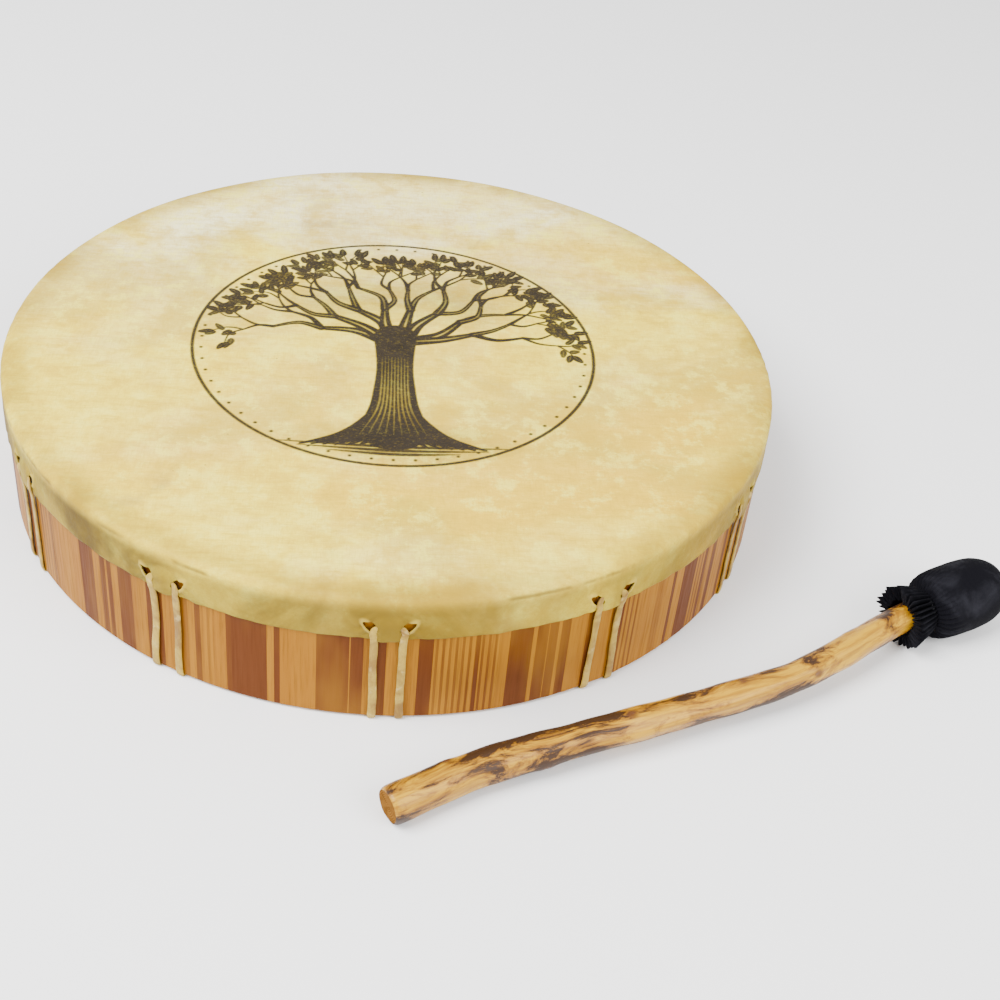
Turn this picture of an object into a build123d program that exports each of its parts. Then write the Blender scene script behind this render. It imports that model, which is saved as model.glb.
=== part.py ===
from build123d import *
from math import cos, radians
import os

# Frame drum with its beater, in millimetres.
# The drum lies head up, as it is put down on a table. +Z is the drum's axis and points out of the
# head, -Y is the drum's front, and the origin is under the middle of the hand cross, on the table.

# ---- driving dimensions -------------------------------------------------------------------------
HOOP_RADIUS = 198.6        # outside of the bent wooden hoop
HOOP_WALL = 6.0            # three plies together
FACE_PLY = 1.0             # outer and inner ply
LACE_THICK = 1.2           # rawhide lace
LACE_WIDE = 4.0
HOOP_LOW = LACE_THICK + 0.1    # the hoop stands on the laces that pass under it
HOOP_TOP = 72.4
EDGE_ROUND = 3.0           # rounded outer edge that carries the head
EDGE_SOFT = 0.6            # eased lower edges
PLY_SEAM = 0.4             # open joint where a ply's ends meet

SKIN = 0.9                 # rawhide head
SKIN_GAP = 0.05
FIT = 0.1                  # between pieces packed into each other
SKIRT_LOW = 51.0           # lower edge of the skin that is folded over the hoop

PAIRS = 12                 # pairs of lacing holes round the skirt
PAIR_STEP = 360 / PAIRS
HOLE_OUT = 7.5             # from the middle of a pair to the middle of each hole
HOLE_LOW, HOLE_HIGH = 53.2, 58.8
HOLE_WIDE = 4.6
HOLE_EASE = 0.3            # between a hole's lower edge and the lace
FLAP_LOW, FLAP_HIGH = 48.6, 61.0   # tongue of skin that covers the lace between two holes
FLAP_HALF = 5.2
LACE_LOW, LACE_HIGH = 54.0, 58.0   # lace where it passes behind the tongue
LACE_ROOM = 0.4            # room above and below it there
LACE_OFF_HOOP = 0.12       # gap between the hoop and the lace that runs down it
LACE_LEAN = 2.0            # height above the hoop's edge where the lace has come in to the wood
FOOT_IN = 1.0              # the lace's foot reaches this far inside the hoop
FOOT_ROUND = 1.0           # eased outer corner of the foot
STRAND_OVERLAP = 0.4       # overlap of the foot and the strand that leaves it
STRAND_EASE = 0.02         # keeps the strand's faces off the foot's faces

ARM_MOUTH = 78.0           # where the strands enter the wrapped arm
ARM_START = 16.5           # where the wrap begins beside the middle lashing
ARM_PITCH = 1.6            # strands stand on edge, side by side, in the arm
STRAND_THICK, STRAND_HIGH = 1.5, 3.4
STRANDS = 6                # in each arm
ARM_LEVEL = {0: 12.9, 90: 9.1}     # the two crossing arms lie one over the other
WRAP_WIDE, WRAP_HIGH = 17.0, 14.0
WRAP_CLEAR = 0.2
WRAP_STOP = 2.0            # the wrap ends this far inside the arm's mouth
LASHING = 31.0             # middle lashing, square in plan
LASHING_LOW, LASHING_HIGH = 0.4, 21.6
LASHING_CORNER, LASHING_EDGE = 8.0, 4.0   # rounding of its corners and of its flat sides

# Beater: centreline of the natural branch, from the butt, along it and sideways.
BRANCH = [(0, 0), (45, 2.2), (94, -2), (143, -7), (197, -11), (230, -8.5), (257, -4), (276, -1), (293, 0)]
BRANCH_DIAMETER = [17.6, 17.2, 16.8, 16.2, 15.6, 15.2, 15.4, 14.8, 14.2]
BRANCH_STATIONS = 24
TENON_DIAMETER = 12.6      # branch end inside the head
TENON_LENGTH = 35.0
BEATER_AT = (1.7, -258.0, 8.9)     # butt end beside the drum, on the table
BEATER_TURN = 25.7
BEATER_TILT = 1.49         # the thick head lifts that end
FELT_DIAMETER, FELT_START, FELT_LENGTH = 22.6, 7.0, 31.0
TENON_ROOT = 1.0           # the tenon starts inside the branch's last section
CLOTH = 1.1                # gathered cloth of the head
TIE_RADIUS, TIE_CORD = 9.9, 1.2
NECK_BORE, NECK_OUTSIDE = 7.7, 8.8
NECK_LOW, NECK_HIGH = -2.2, 3.2    # the drawn-in neck, before and beyond the tie
NECK_ROUND = 2.4           # the cover's hollow starts narrower than its first outline row
# Outlines of the head and the frill, as distance beyond the tie and radius.
COVER = [(2.5, 9.4), (6, 12.6), (12, 15.3), (20, 16.8), (29, 17.1), (38, 15.8), (44.5, 12.4), (48.5, 7)]
COVER_TIP = 50.5
COVER_INSIDE = 4.4         # where the cover's hollow begins
FRILL = [(-2.0, 8.4), (-16, 9.6), (-17, 12.6), (-9, 15.2), (-1.6, 13.0), (-1.8, 9.4)]

TOP_LIMIT = 400.0          # larger than anything, for cutting shapes


def ring(outer, inner, low, high):
    """Plain ring about the drum's axis."""
    body = Cylinder(outer, high - low, align=(Align.CENTER, Align.CENTER, Align.MIN))
    hole = Cylinder(inner, high - low, align=(Align.CENTER, Align.CENTER, Align.MIN))
    return Pos(0, 0, low) * (body - hole)


def block(x, y, z):
    """Box from three (low, high) pairs."""
    size = [high - low for low, high in (x, y, z)]
    middle = [(low + high) / 2 for low, high in (x, y, z)]
    return Pos(*middle) * Box(*size)


def at_pair(angle, shape):
    """Turns a shape made about +X to its place round the hoop."""
    return Rot(0, 0, angle) * shape


def outline(points):
    """Closed face in the X-Z plane from (x, z) corners."""
    return make_face(Polyline(*[(x, 0, z) for x, z in points], close=True))


# ---- hoop: three plies bent into a ring ---------------------------------------------------------
def whole_hoop():
    """Ring turned from its section: a rounded edge under the head, the other edges eased."""
    inner = HOOP_RADIUS - HOOP_WALL
    half = cos(radians(45))

    def edge(x, z, radius, toward_x, toward_z):
        """Quarter round in the corner at x, z, whose centre lies towards the given signs."""
        centre = (x + toward_x * radius, z + toward_z * radius)
        middle = (centre[0] - toward_x * radius * half, centre[1] - toward_z * radius * half)
        ends = ((centre[0], z), (x, centre[1]))
        first, last = ends if toward_x * toward_z > 0 else ends[::-1]
        return [(first[0], 0, first[1]), (middle[0], 0, middle[1]), (last[0], 0, last[1])]

    corners = [
        edge(inner, HOOP_LOW, EDGE_SOFT, 1, 1), edge(inner, HOOP_TOP, EDGE_SOFT, 1, -1),
        edge(HOOP_RADIUS, HOOP_TOP, EDGE_ROUND, -1, -1), edge(HOOP_RADIUS, HOOP_LOW, EDGE_SOFT, -1, 1)]
    edges = []
    for n, corner in enumerate(corners):
        edges += [ThreePointArc(*corner), Line(corner[2], corners[(n + 1) % 4][0])]
    return revolve(make_face(Wire(edges)), Axis.Z)


def ply(hoop, outer, inner, seam_angle):
    """One ply of the hoop, with the open joint where its two ends meet."""
    layer = hoop & ring(outer, inner, HOOP_LOW - 1, HOOP_TOP + 1)
    seam = block((inner - 2, outer + 2), (-PLY_SEAM / 2, PLY_SEAM / 2), (HOOP_LOW - 1, HOOP_TOP + 1))
    return layer - at_pair(seam_angle, seam)


def hoop_plies():
    """Outer, core and inner ply, their seams spread round the hoop."""
    hoop = whole_hoop()
    inner = HOOP_RADIUS - HOOP_WALL
    return {
        "hoop_outer_ply": ply(hoop, HOOP_RADIUS + 1, HOOP_RADIUS - FACE_PLY, 75),
        "hoop_core_ply": ply(hoop, HOOP_RADIUS - FACE_PLY, inner + FACE_PLY, 195),
        "hoop_inner_ply": ply(hoop, inner + FACE_PLY, inner - 1, 315),
    }


# ---- rawhide head -------------------------------------------------------------------------------
def skin_shell():
    """Flat membrane, rounded edge and skirt, as one turned shell."""
    inside = HOOP_RADIUS + SKIN_GAP
    outside = inside + SKIN
    under = HOOP_TOP + SKIN_GAP
    top = under + SKIN
    bend = (HOOP_RADIUS - EDGE_ROUND, HOOP_TOP - EDGE_ROUND)
    inner_bend, outer_bend = EDGE_ROUND + SKIN_GAP, EDGE_ROUND + SKIN_GAP + SKIN
    half = cos(radians(45))

    def on_bend(radius):
        return (bend[0] + radius * half, 0, bend[1] + radius * half)

    edges = [
        Line((0, 0, under), (bend[0], 0, under)),
        ThreePointArc((bend[0], 0, under), on_bend(inner_bend), (inside, 0, bend[1])),
        Line((inside, 0, bend[1]), (inside, 0, SKIRT_LOW)),
        Line((inside, 0, SKIRT_LOW), (outside, 0, SKIRT_LOW)),
        Line((outside, 0, SKIRT_LOW), (outside, 0, bend[1])),
        ThreePointArc((outside, 0, bend[1]), on_bend(outer_bend), (bend[0], 0, top)),
        Line((bend[0], 0, top), (0, 0, top)),
        Line((0, 0, top), (0, 0, under)),
    ]
    return revolve(make_face(Wire(edges)), Axis.Z)


def drumhead():
    """Skin with a tongue over the lace and a hole each side of it, at every pair."""
    inside = HOOP_RADIUS + SKIN_GAP
    over_lace = HOOP_RADIUS + LACE_THICK + 3 * SKIN_GAP
    outward = (0, TOP_LIMIT)
    tongue = ring(over_lace + SKIN, inside, FLAP_LOW, FLAP_HIGH)
    tongue = tongue & block(outward, (-FLAP_HALF, FLAP_HALF), outward)
    behind = ring(over_lace, inside - 1, LACE_LOW - LACE_ROOM, LACE_HIGH + LACE_ROOM)
    behind = behind & block(outward, (-HOLE_OUT, HOLE_OUT), outward)
    hole = block(
        (HOOP_RADIUS - 8, HOOP_RADIUS + 8), (FLAP_HALF, FLAP_HALF + HOLE_WIDE), (HOLE_LOW, HOLE_HIGH))
    cuts = [behind, hole, mirror(hole, Plane.XZ)]
    angles = [n * PAIR_STEP for n in range(PAIRS)]
    skin = at_pair(-PAIR_STEP / 2, skin_shell())
    skin = skin.fuse(*[at_pair(angle, tongue) for angle in angles])
    return skin.cut(*[at_pair(angle, cut) for angle in angles for cut in cuts])


# ---- lacing: six closed loops, each through two pairs of holes ------------------------------------
def lace_outside(side):
    """Strand from the hole, down the outside of the hoop and under its edge, made about +X."""
    near = HOOP_RADIUS + LACE_OFF_HOOP
    far = near + LACE_THICK
    over_skirt = HOOP_RADIUS + SKIN_GAP + SKIN + SKIN_GAP
    foot_in = HOOP_RADIUS - HOOP_WALL - FOOT_IN
    foot_top = LACE_THICK + SKIN_GAP
    under_hole = HOLE_LOW + HOLE_EASE
    under_skirt = SKIRT_LOW - LACE_ROOM
    face = outline([
        (near, LACE_HIGH), (near, under_hole), (over_skirt, under_hole), (over_skirt, under_skirt),
        (near, HOOP_LOW + LACE_LEAN), (near, foot_top), (foot_in, foot_top), (foot_in, 0),
        (far - FOOT_ROUND, 0), (far, FOOT_ROUND), (far, HOOP_LOW + LACE_LEAN),
        (over_skirt + LACE_THICK, under_skirt), (over_skirt + LACE_THICK, LACE_HIGH - FOOT_ROUND),
        (over_skirt + SKIN_GAP, LACE_HIGH)])
    strip = extrude(face, LACE_WIDE / 2, dir=(0, 1, 0), both=True)
    return Pos(0, side * HOLE_OUT, 0) * strip


def lace_pair(angle):
    """Both outside strands of a pair and the stretch behind the tongue of skin."""
    near = HOOP_RADIUS + LACE_OFF_HOOP
    across = block((near, near + LACE_THICK - FIT), (-HOLE_OUT, HOLE_OUT), (LACE_LOW, LACE_HIGH))
    return at_pair(angle, lace_outside(1) + lace_outside(-1) + across)


def section(points):
    """Face through four corners of a strand."""
    return make_face(Polyline(*points, close=True))


def lace_inside(arm, level, offset, side):
    """Strand from under the hoop to the mouth of its arm, narrowing as it is drawn together."""
    start_x = HOOP_RADIUS - HOOP_WALL - FOOT_IN + STRAND_OVERLAP
    half = LACE_WIDE / 2 - STRAND_EASE
    spread = at_pair(offset, section([
        (start_x, side * HOLE_OUT + y, z) for y, z in (
            (-half, STRAND_EASE), (half, STRAND_EASE), (half, LACE_THICK), (-half, LACE_THICK))]))
    lateral = lane(offset, side)
    mouth = section([
        (ARM_MOUTH, lateral + y, level + z) for y, z in (
            (-STRAND_THICK / 2, -STRAND_HIGH / 2), (STRAND_THICK / 2, -STRAND_HIGH / 2),
            (STRAND_THICK / 2, STRAND_HIGH / 2), (-STRAND_THICK / 2, STRAND_HIGH / 2))])
    return at_pair(arm, loft([spread, mouth], ruled=True))


def lane(offset, side):
    """Sideways place of a strand in its arm."""
    return (offset / PAIR_STEP * 2 + side * 0.5) * ARM_PITCH


def lacing_loop(arm, offset):
    """Closed loop through a pair of holes, its arm of the cross, and the pair across the drum."""
    level = ARM_LEVEL[arm]
    ends = [(arm, offset), (arm + 180, -offset)]
    pieces = []
    for turn, off in ends:
        pieces.append(lace_pair(turn + off))
        pieces += [lace_inside(turn, level, off, side) for side in (1, -1)]
    for side in (1, -1):
        y = lane(offset, side)
        run = block((-ARM_MOUTH, ARM_MOUTH), (y - STRAND_THICK / 2, y + STRAND_THICK / 2),
                    (level - STRAND_HIGH / 2, level + STRAND_HIGH / 2))
        pieces.append(at_pair(arm, run))
    return pieces[0] + pieces[1:]


def lacing():
    """Six loops, three along each arm of the cross."""
    loops = {}
    for arm, name in ((0, "side"), (90, "front")):
        for offset, place in ((-PAIR_STEP, "a"), (0, "b"), (PAIR_STEP, "c")):
            loops[f"lacing_loop_{name}_{place}"] = lacing_loop(arm, offset)
    return loops


# ---- hand cross: four wrapped arms and the lashing in the middle ----------------------------------
def bundle_slot(length, level, clear):
    """Room for the six strands of an arm, standing on edge side by side."""
    wide = (STRANDS - 1) * ARM_PITCH + STRAND_THICK
    return block((-length, length), (-wide / 2 - clear, wide / 2 + clear),
                 (level - STRAND_HIGH / 2 - clear, level + STRAND_HIGH / 2 + clear))


def arm_wrap(angle, level):
    """Oval winding of lace round the strands of one arm."""
    length = ARM_MOUTH - WRAP_STOP - ARM_START
    oval = Plane.YZ * Ellipse(WRAP_WIDE / 2, WRAP_HIGH / 2)
    tube = Pos(ARM_START, 0, level) * extrude(oval, length)
    return at_pair(angle, tube - bundle_slot(ARM_MOUTH + 1, level, WRAP_CLEAR))


def middle_lashing():
    """Rounded block of crosswise turns of lace, with room for both arms' strands."""
    body = block((-LASHING / 2, LASHING / 2), (-LASHING / 2, LASHING / 2), (LASHING_LOW, LASHING_HIGH))
    body = fillet(body.edges().filter_by(Axis.Z), LASHING_CORNER)
    body = fillet(body.edges().group_by(Axis.Z)[-1] + body.edges().group_by(Axis.Z)[0], LASHING_EDGE)
    for arm, level in ARM_LEVEL.items():
        body = body - at_pair(arm, bundle_slot(LASHING, level, WRAP_CLEAR))
    return body


def hand_cross():
    """The four arm wraps and the lashing over their crossing."""
    wraps = {"right": 0, "back": 90, "left": 180, "front": 270}
    parts = {f"arm_wrap_{name}": arm_wrap(a, ARM_LEVEL[a % 180]) for name, a in wraps.items()}
    parts["middle_lashing"] = middle_lashing()
    return parts


# ---- beater ---------------------------------------------------------------------------------------
def head_plane():
    """Plane across the stick at the neck tie, its Z along the head."""
    x, y = BRANCH[-1]
    return Plane(origin=(x, y, 0), z_dir=(1, 0, 0), x_dir=(0, 0, 1))


def turned(points):
    """Solid of revolution about the head's axis from (along, radius) points."""
    corners = [(radius, 0, along) for along, radius in points]
    return head_plane().location * revolve(make_face(Polyline(*corners, close=True)), Axis.Z)


def round_bar(radius, start, end):
    """Bar about the head's axis."""
    return turned([(start, 0), (end, 0), (end, radius), (start, radius)])


def beater_stick():
    """Lofted branch with a round tenon at the head end."""
    line = Spline(*BRANCH, tangents=[(1, 0), (1, 0)])
    last = len(BRANCH_DIAMETER) - 1
    faces = []
    for n in range(BRANCH_STATIONS + 1):
        along = n / BRANCH_STATIONS
        before = min(int(along * last), last - 1)
        share = along * last - before
        size = BRANCH_DIAMETER[before] * (1 - share) + BRANCH_DIAMETER[before + 1] * share
        plane = Plane(origin=line @ along, z_dir=line % along, x_dir=(0, 0, 1))
        faces.append(plane * Circle(size / 2))
    return loft(faces) + round_bar(TENON_DIAMETER / 2, -TENON_ROOT, TENON_LENGTH)


def head_outline(inset):
    """Closed outline of the head taken in by a wall, from the start of its hollow to the tip."""
    rows = [(along, radius - inset) for along, radius in COVER[1:]]
    start = COVER_INSIDE + inset - CLOTH
    return [(start, 0), (start, rows[0][1] - NECK_ROUND), *rows, (COVER_TIP - inset, 0)]


def beater_head():
    """Felt roll on the tenon, wadding round it, the tied cloth cover and its cord."""
    felt_end = FELT_START + FELT_LENGTH
    felt = round_bar(FELT_DIAMETER / 2, FELT_START, felt_end)
    felt = felt - round_bar(TENON_DIAMETER / 2 + FIT, FELT_START - 1, felt_end + 1)
    wadding = turned(head_outline(CLOTH + FIT))
    wadding = wadding - round_bar(TENON_DIAMETER / 2 + FIT, 0, TENON_LENGTH + FIT)
    wadding = wadding - round_bar(FELT_DIAMETER / 2 + FIT, FELT_START - FIT, felt_end + FIT)
    shell = turned([(COVER[0][0], 0), *COVER, (COVER_TIP, 0)]) - turned(head_outline(CLOTH))
    neck = round_bar(NECK_OUTSIDE, NECK_LOW, NECK_HIGH)
    tie = head_plane().location * Torus(TIE_RADIUS, TIE_CORD)
    bore = round_bar(NECK_BORE, 2 * FRILL[1][0], COVER_INSIDE + 1)
    cover = shell + neck + turned(FRILL) - bore - tie
    return {
        "beater_felt_roll": felt,
        "beater_wadding": wadding,
        "beater_cover": cover,
        "beater_neck_tie": tie,
    }


def beater():
    """Stick and head, laid on the table beside the drum."""
    place = Pos(*BEATER_AT) * Rot(0, 0, BEATER_TURN) * Rot(0, -BEATER_TILT, 0)
    parts = {"beater_stick": beater_stick(), **beater_head()}
    return {name: place * shape for name, shape in parts.items()}


os.makedirs("parts", exist_ok=True)
assembly = {**hoop_plies(), "drumhead": drumhead(), **lacing(), **hand_cross(), **beater()}
for name, shape in assembly.items():
    export_step(shape, f"parts/{name}.step")
    print(name, len(shape.solids()), round(shape.volume), shape.bounding_box())
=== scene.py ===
from math import ceil, cos, hypot, pi, radians, sin, tau

import bpy
import numpy as np
from bpy.props import FloatProperty, FloatVectorProperty, IntProperty, PointerProperty
from bpy.types import Operator, Panel, PropertyGroup
from mathutils import Matrix, Vector


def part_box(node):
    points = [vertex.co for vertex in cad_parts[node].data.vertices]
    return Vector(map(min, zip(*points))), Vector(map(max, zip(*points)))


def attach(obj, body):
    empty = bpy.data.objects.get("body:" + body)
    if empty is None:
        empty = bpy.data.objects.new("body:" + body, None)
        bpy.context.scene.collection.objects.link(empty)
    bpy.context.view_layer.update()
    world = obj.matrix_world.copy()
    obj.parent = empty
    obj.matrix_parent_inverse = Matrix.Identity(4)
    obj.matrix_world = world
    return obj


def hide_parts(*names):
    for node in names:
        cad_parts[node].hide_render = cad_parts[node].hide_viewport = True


bl_info = {
    "name": "Frame Drum",
    "version": (1, 0, 0),
    "blender": (4, 5, 0),
    "location": "3D View > Sidebar > Drum",
    "description": "A laced rawhide frame drum with its branch beater",
    "category": "Object",
}

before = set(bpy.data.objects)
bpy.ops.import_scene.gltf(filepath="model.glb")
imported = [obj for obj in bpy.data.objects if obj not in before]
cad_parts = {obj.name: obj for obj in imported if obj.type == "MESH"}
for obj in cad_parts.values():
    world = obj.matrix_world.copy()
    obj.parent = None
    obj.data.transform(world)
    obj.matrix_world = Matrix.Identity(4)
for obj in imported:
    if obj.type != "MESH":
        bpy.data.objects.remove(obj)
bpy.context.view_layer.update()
MM = 0.001
HOOP_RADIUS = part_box("hoop_outer_ply")[1].x
HEAD_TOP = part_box("drumhead")[1].z
PAIRS = 12
PAIR_STEP = tau / PAIRS
# The skin's fold over the hoop: how far in from the hoop's face and down from the top its middle lies.
FOLD_IN, FOLD_DOWN, FOLD_BEND = 3 * MM, 4 * MM, 3.5 * MM
ARMS = ("right", "back", "left", "front")
UP = np.array([0, 0, 1.0])


# ---- sizes and colours that a maker would change --------------------------------------------------

def length(name, description, default):
    return FloatProperty(name=name, description=description, default=default, unit="LENGTH")


def colour(name, description, default):
    return FloatVectorProperty(
        name=name, description=description, default=default, subtype="COLOR", size=3, min=0, max=1)


class DrumSizes(PropertyGroup):
    skin: length("Skin", "Thickness of the rawhide", 0.9 * MM)
    skirt_low: length("Skirt edge", "Height of the skirt's lower edge between the laces", 50.6 * MM)
    hole_out: length("Hole spacing", "Half the distance between two holes of a pair", 8.2 * MM)
    hole_height: length("Hole height", "Height of the middle of a hole", 57.6 * MM)
    lace_wide: length("Lace width", "Width of the rawhide lace", 3.6 * MM)
    lace_thick: length("Lace thickness", "Thickness of the rawhide lace", 1.25 * MM)
    art_radius: length("Drawing radius", "Outer radius of the ink drawing", 108 * MM)
    art_cell: length("Drawing grain", "Finest detail of the ink drawing", 0.55 * MM)
    winding_turns: IntProperty(
        name="Winding turns", description="Turns of lace on each arm of the hand cross", default=15)


class DrumColours(PropertyGroup):
    hide_pale: colour("Pale hide", "Colour of the clear parts of the head", (0.86, 0.66, 0.050))
    hide_white: colour("White hide", "Colour of the thick cloudy parts", (0.94, 0.91, 0.56))
    hide_amber: colour("Amber hide", "Colour of the thin parts", (0.72, 0.44, 0.016))
    hide_brown: colour("Brown hide", "Colour of old marks and folds", (0.20, 0.11, 0.022))
    ink: colour("Ink", "Colour of the drawing", (0.013, 0.010, 0.008))
    lace: colour("Lace", "Colour of the rawhide lace", (0.42, 0.285, 0.038))
    wood_pale: colour("Pale wood", "Lightest stripes of the hoop", (0.28, 0.108, 0.0025))
    wood_red: colour("Red wood", "Darkest stripes of the hoop", (0.098, 0.024, 0.0010))
    branch_gold: colour("Branch", "Peeled and lacquered wood", (0.52, 0.30, 0.006))
    # This colour is also laid on the branch's silhouette edges as painted shade.
    branch_scorch: colour("Scorch", "Burnt streaks on the branch", (0.022, 0.010, 0.006))
    cloth: colour("Cloth", "Cloth of the beater's head", (0.0042, 0.0040, 0.0062))


class BeaterSizes(PropertyGroup):
    reach: length("Reach", "From the butt to the tie", 293 * MM)
    tip: length("Head length", "From the tie to the tip", 49.6 * MM)
    frill: length("Frill", "Width of the gathered frill", 15 * MM)
    pleats: IntProperty(name="Pleats", description="Pleats drawn in by the tie", default=21)
    frill_pleats: IntProperty(name="Frill pleats", description="Small gathers in the frill", default=34)


class StageSizes(PropertyGroup):
    floor: length("Floor", "Half the side of the floor", 6.0)
    floor_colour: colour("Floor colour", "Plain pale floor", (0.92, 0.92, 0.92))


# ---- mesh helpers -----------------------------------------------------------------------------------

def settings(group):
    return getattr(bpy.context.scene, group)


def make_piece(name, points, faces, material, body, nodes=()):
    """Object at the origin from points in metres, riding on its body."""
    mesh = bpy.data.meshes.new(name)
    mesh.from_pydata(np.asarray(points).tolist(), [], [list(map(int, face)) for face in faces])
    mesh.validate()
    mesh.shade_smooth()
    mesh.materials.append(material)
    piece = bpy.data.objects.new(name, mesh)
    return adopt(piece, body, nodes)


def adopt(piece, body, nodes=()):
    if piece.name not in bpy.context.scene.collection.objects:
        bpy.context.scene.collection.objects.link(piece)
    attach(piece, body)
    if nodes:
        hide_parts(*nodes)
    return piece


def band_faces(rows, around, start=0, closed=True):
    """Quads between rows of points, facing the side on which rows run right and points run up."""
    columns = around if closed else around - 1
    row, column = np.meshgrid(np.arange(rows - 1), np.arange(columns), indexing="ij")
    here = start + row * around + column
    beside = start + row * around + (column + 1) % around
    return np.stack([here, here + around, beside + around, beside], -1).reshape(-1, 4)


def fan(centre, ring, flip=False):
    """Triangles that close a ring of points with one centre point."""
    pairs = zip(ring, np.roll(ring, -1))
    return [(centre, b, a) if flip else (centre, a, b) for a, b in pairs]


def smooth(edge0, edge1, value):
    """0 before edge0, 1 after edge1 and an even rise between."""
    share = np.clip((value - edge0) / (edge1 - edge0), 0, 1)
    return share * share * (3 - 2 * share)


def ripple(angle, seed, low, high):
    """Even-tempered random wave round a circle, with whole waves from low to high."""
    dice = np.random.default_rng(seed)
    wave = np.zeros_like(angle, dtype=float)
    for count in range(low, high + 1):
        wave = wave + dice.normal() * np.cos(count * angle + dice.uniform(0, tau))
    return wave / np.sqrt(high - low + 1)


def curve_through(points, steps, closed=False):
    """Catmull-Rom line through rows of numbers, with the given steps in each span."""
    rows = np.asarray(points, float)
    count = len(rows)
    line = []
    for n in range(count if closed else count - 1):
        if closed:
            a, b, c, d = (rows[(n + k) % count] for k in (-1, 0, 1, 2))
        else:
            a, b, c, d = (rows[min(max(n + k, 0), count - 1)] for k in (-1, 0, 1, 2))
        for t in np.arange(steps) / steps:
            line.append(0.5 * (2 * b + (c - a) * t + (2 * a - 5 * b + 4 * c - d) * t ** 2
                               + (3 * b - a - 3 * c + d) * t ** 3))
    if not closed:
        line.append(rows[-1])
    return np.array(line)


def unit(vectors):
    return vectors / np.maximum(np.linalg.norm(vectors, axis=-1, keepdims=True), 1e-9)


def lace_section(corner=0.32, steps=3):
    """Rounded oblong, 1 by 1, as points round its edge."""
    points = []
    for quarter in range(4):
        centre = np.array([(0.5 - corner) * s for s in ((1, 1), (-1, 1), (-1, -1), (1, -1))[quarter]])
        for step in range(steps):
            turn = quarter * pi / 2 + step / (steps - 1) * pi / 2
            points.append(centre + corner * np.array([cos(turn), sin(turn)]))
    return np.array(points)


def sweep_lace(path, normals, wide, thick, closed=True):
    """Points and faces of a lace along a path; its thickness lies along the normals."""
    ahead = unit(np.roll(path, -1, 0) - np.roll(path, 1, 0)) if closed else unit(np.gradient(path, axis=0))
    across = unit(np.cross(ahead, normals))
    upright = np.cross(across, ahead)
    section = lace_section()
    points = (path[:, None] + across[:, None] * section[None, :, :1] * wide[:, None, None]
              + upright[:, None] * section[None, :, 1:] * thick[:, None, None])
    rows, around = points.shape[:2]
    flat = points.reshape(-1, 3)
    if closed:
        flat = np.vstack([flat, points[0]])
        faces = band_faces(rows + 1, around)
        faces = np.where(faces >= rows * around, faces - rows * around, faces)
        return flat[:rows * around], faces.tolist()
    faces = band_faces(rows, around).tolist()
    faces.append(list(range(around)))
    faces.append(list(range((rows - 1) * around, rows * around))[::-1])
    return flat, faces


def face_outwards(piece):
    """Turns the faces of a closed piece outwards, its doubles merged first."""
    import bmesh
    work = bmesh.new()
    work.from_mesh(piece.data)
    bmesh.ops.remove_doubles(work, verts=work.verts, dist=1e-6)
    bmesh.ops.recalc_face_normals(work, faces=work.faces)
    work.to_mesh(piece.data)
    work.free()
    piece.data.shade_smooth()


# ---- shader helpers ---------------------------------------------------------------------------------

def node(tree, kind, inputs=(), **settings_):
    """A shader node with its settings made and its inputs set or linked."""
    made = tree.nodes.new(f"ShaderNode{kind}")
    for name, value in settings_.items():
        setattr(made, name, value)
    for name, value in dict(inputs).items():
        socket = made.inputs[name]
        if isinstance(value, bpy.types.NodeSocket):
            tree.links.new(value, socket)
        else:
            socket.default_value = value
    return made


def maths(tree, operation, *values):
    made = node(tree, "Math", operation=operation)
    for n, value in enumerate(values):
        if isinstance(value, bpy.types.NodeSocket):
            tree.links.new(value, made.inputs[n])
        else:
            made.inputs[n].default_value = value
    return made.outputs[0]


def blend(tree, share, first, second, how="MIX"):
    """Mixes two colours; a plain colour is given as three numbers."""
    made = node(tree, "Mix", data_type="RGBA", blend_type=how)
    for socket, value in ((made.inputs[0], share), (made.inputs[6], first), (made.inputs[7], second)):
        if isinstance(value, bpy.types.NodeSocket):
            tree.links.new(value, socket)
        elif hasattr(value, "__len__"):
            socket.default_value = (*tuple(value)[:3], 1)
        else:
            socket.default_value = value
    return made.outputs[2]


def between(tree, value, low, high, out_low=0.0, out_high=1.0):
    """Maps low..high to out_low..out_high, eased and held at its ends."""
    made = node(tree, "MapRange", {
        "Value": value, "From Min": low, "From Max": high, "To Min": out_low, "To Max": out_high},
        interpolation_type="SMOOTHSTEP")
    return made.outputs["Result"]


def stretched(tree, vector, scale):
    return node(tree, "Mapping", {"Vector": vector, "Scale": scale}).outputs["Vector"]


def noise(tree, vector, scale, detail=4.0, roughness=0.55, distortion=0.0):
    made = node(tree, "TexNoise", {
        "Vector": vector, "Scale": scale, "Detail": detail, "Roughness": roughness,
        "Distortion": distortion})
    return made.outputs["Fac"]


def group(name, inputs, outputs, fill):
    """Shader node group, built once. inputs and outputs are (name, socket type, default) rows."""
    tree = bpy.data.node_groups.get(name)
    if tree:
        return tree
    tree = bpy.data.node_groups.new(name, "ShaderNodeTree")
    for label, kind, default in inputs:
        socket = tree.interface.new_socket(label, in_out="INPUT", socket_type=f"NodeSocket{kind}")
        if default is not None:
            socket.default_value = default
    for label, kind in outputs:
        tree.interface.new_socket(label, in_out="OUTPUT", socket_type=f"NodeSocket{kind}")
    start, end = tree.nodes.new("NodeGroupInput"), tree.nodes.new("NodeGroupOutput")
    for label, socket in fill(tree, start.outputs).items():
        tree.links.new(socket, end.inputs[label])
    return tree


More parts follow.
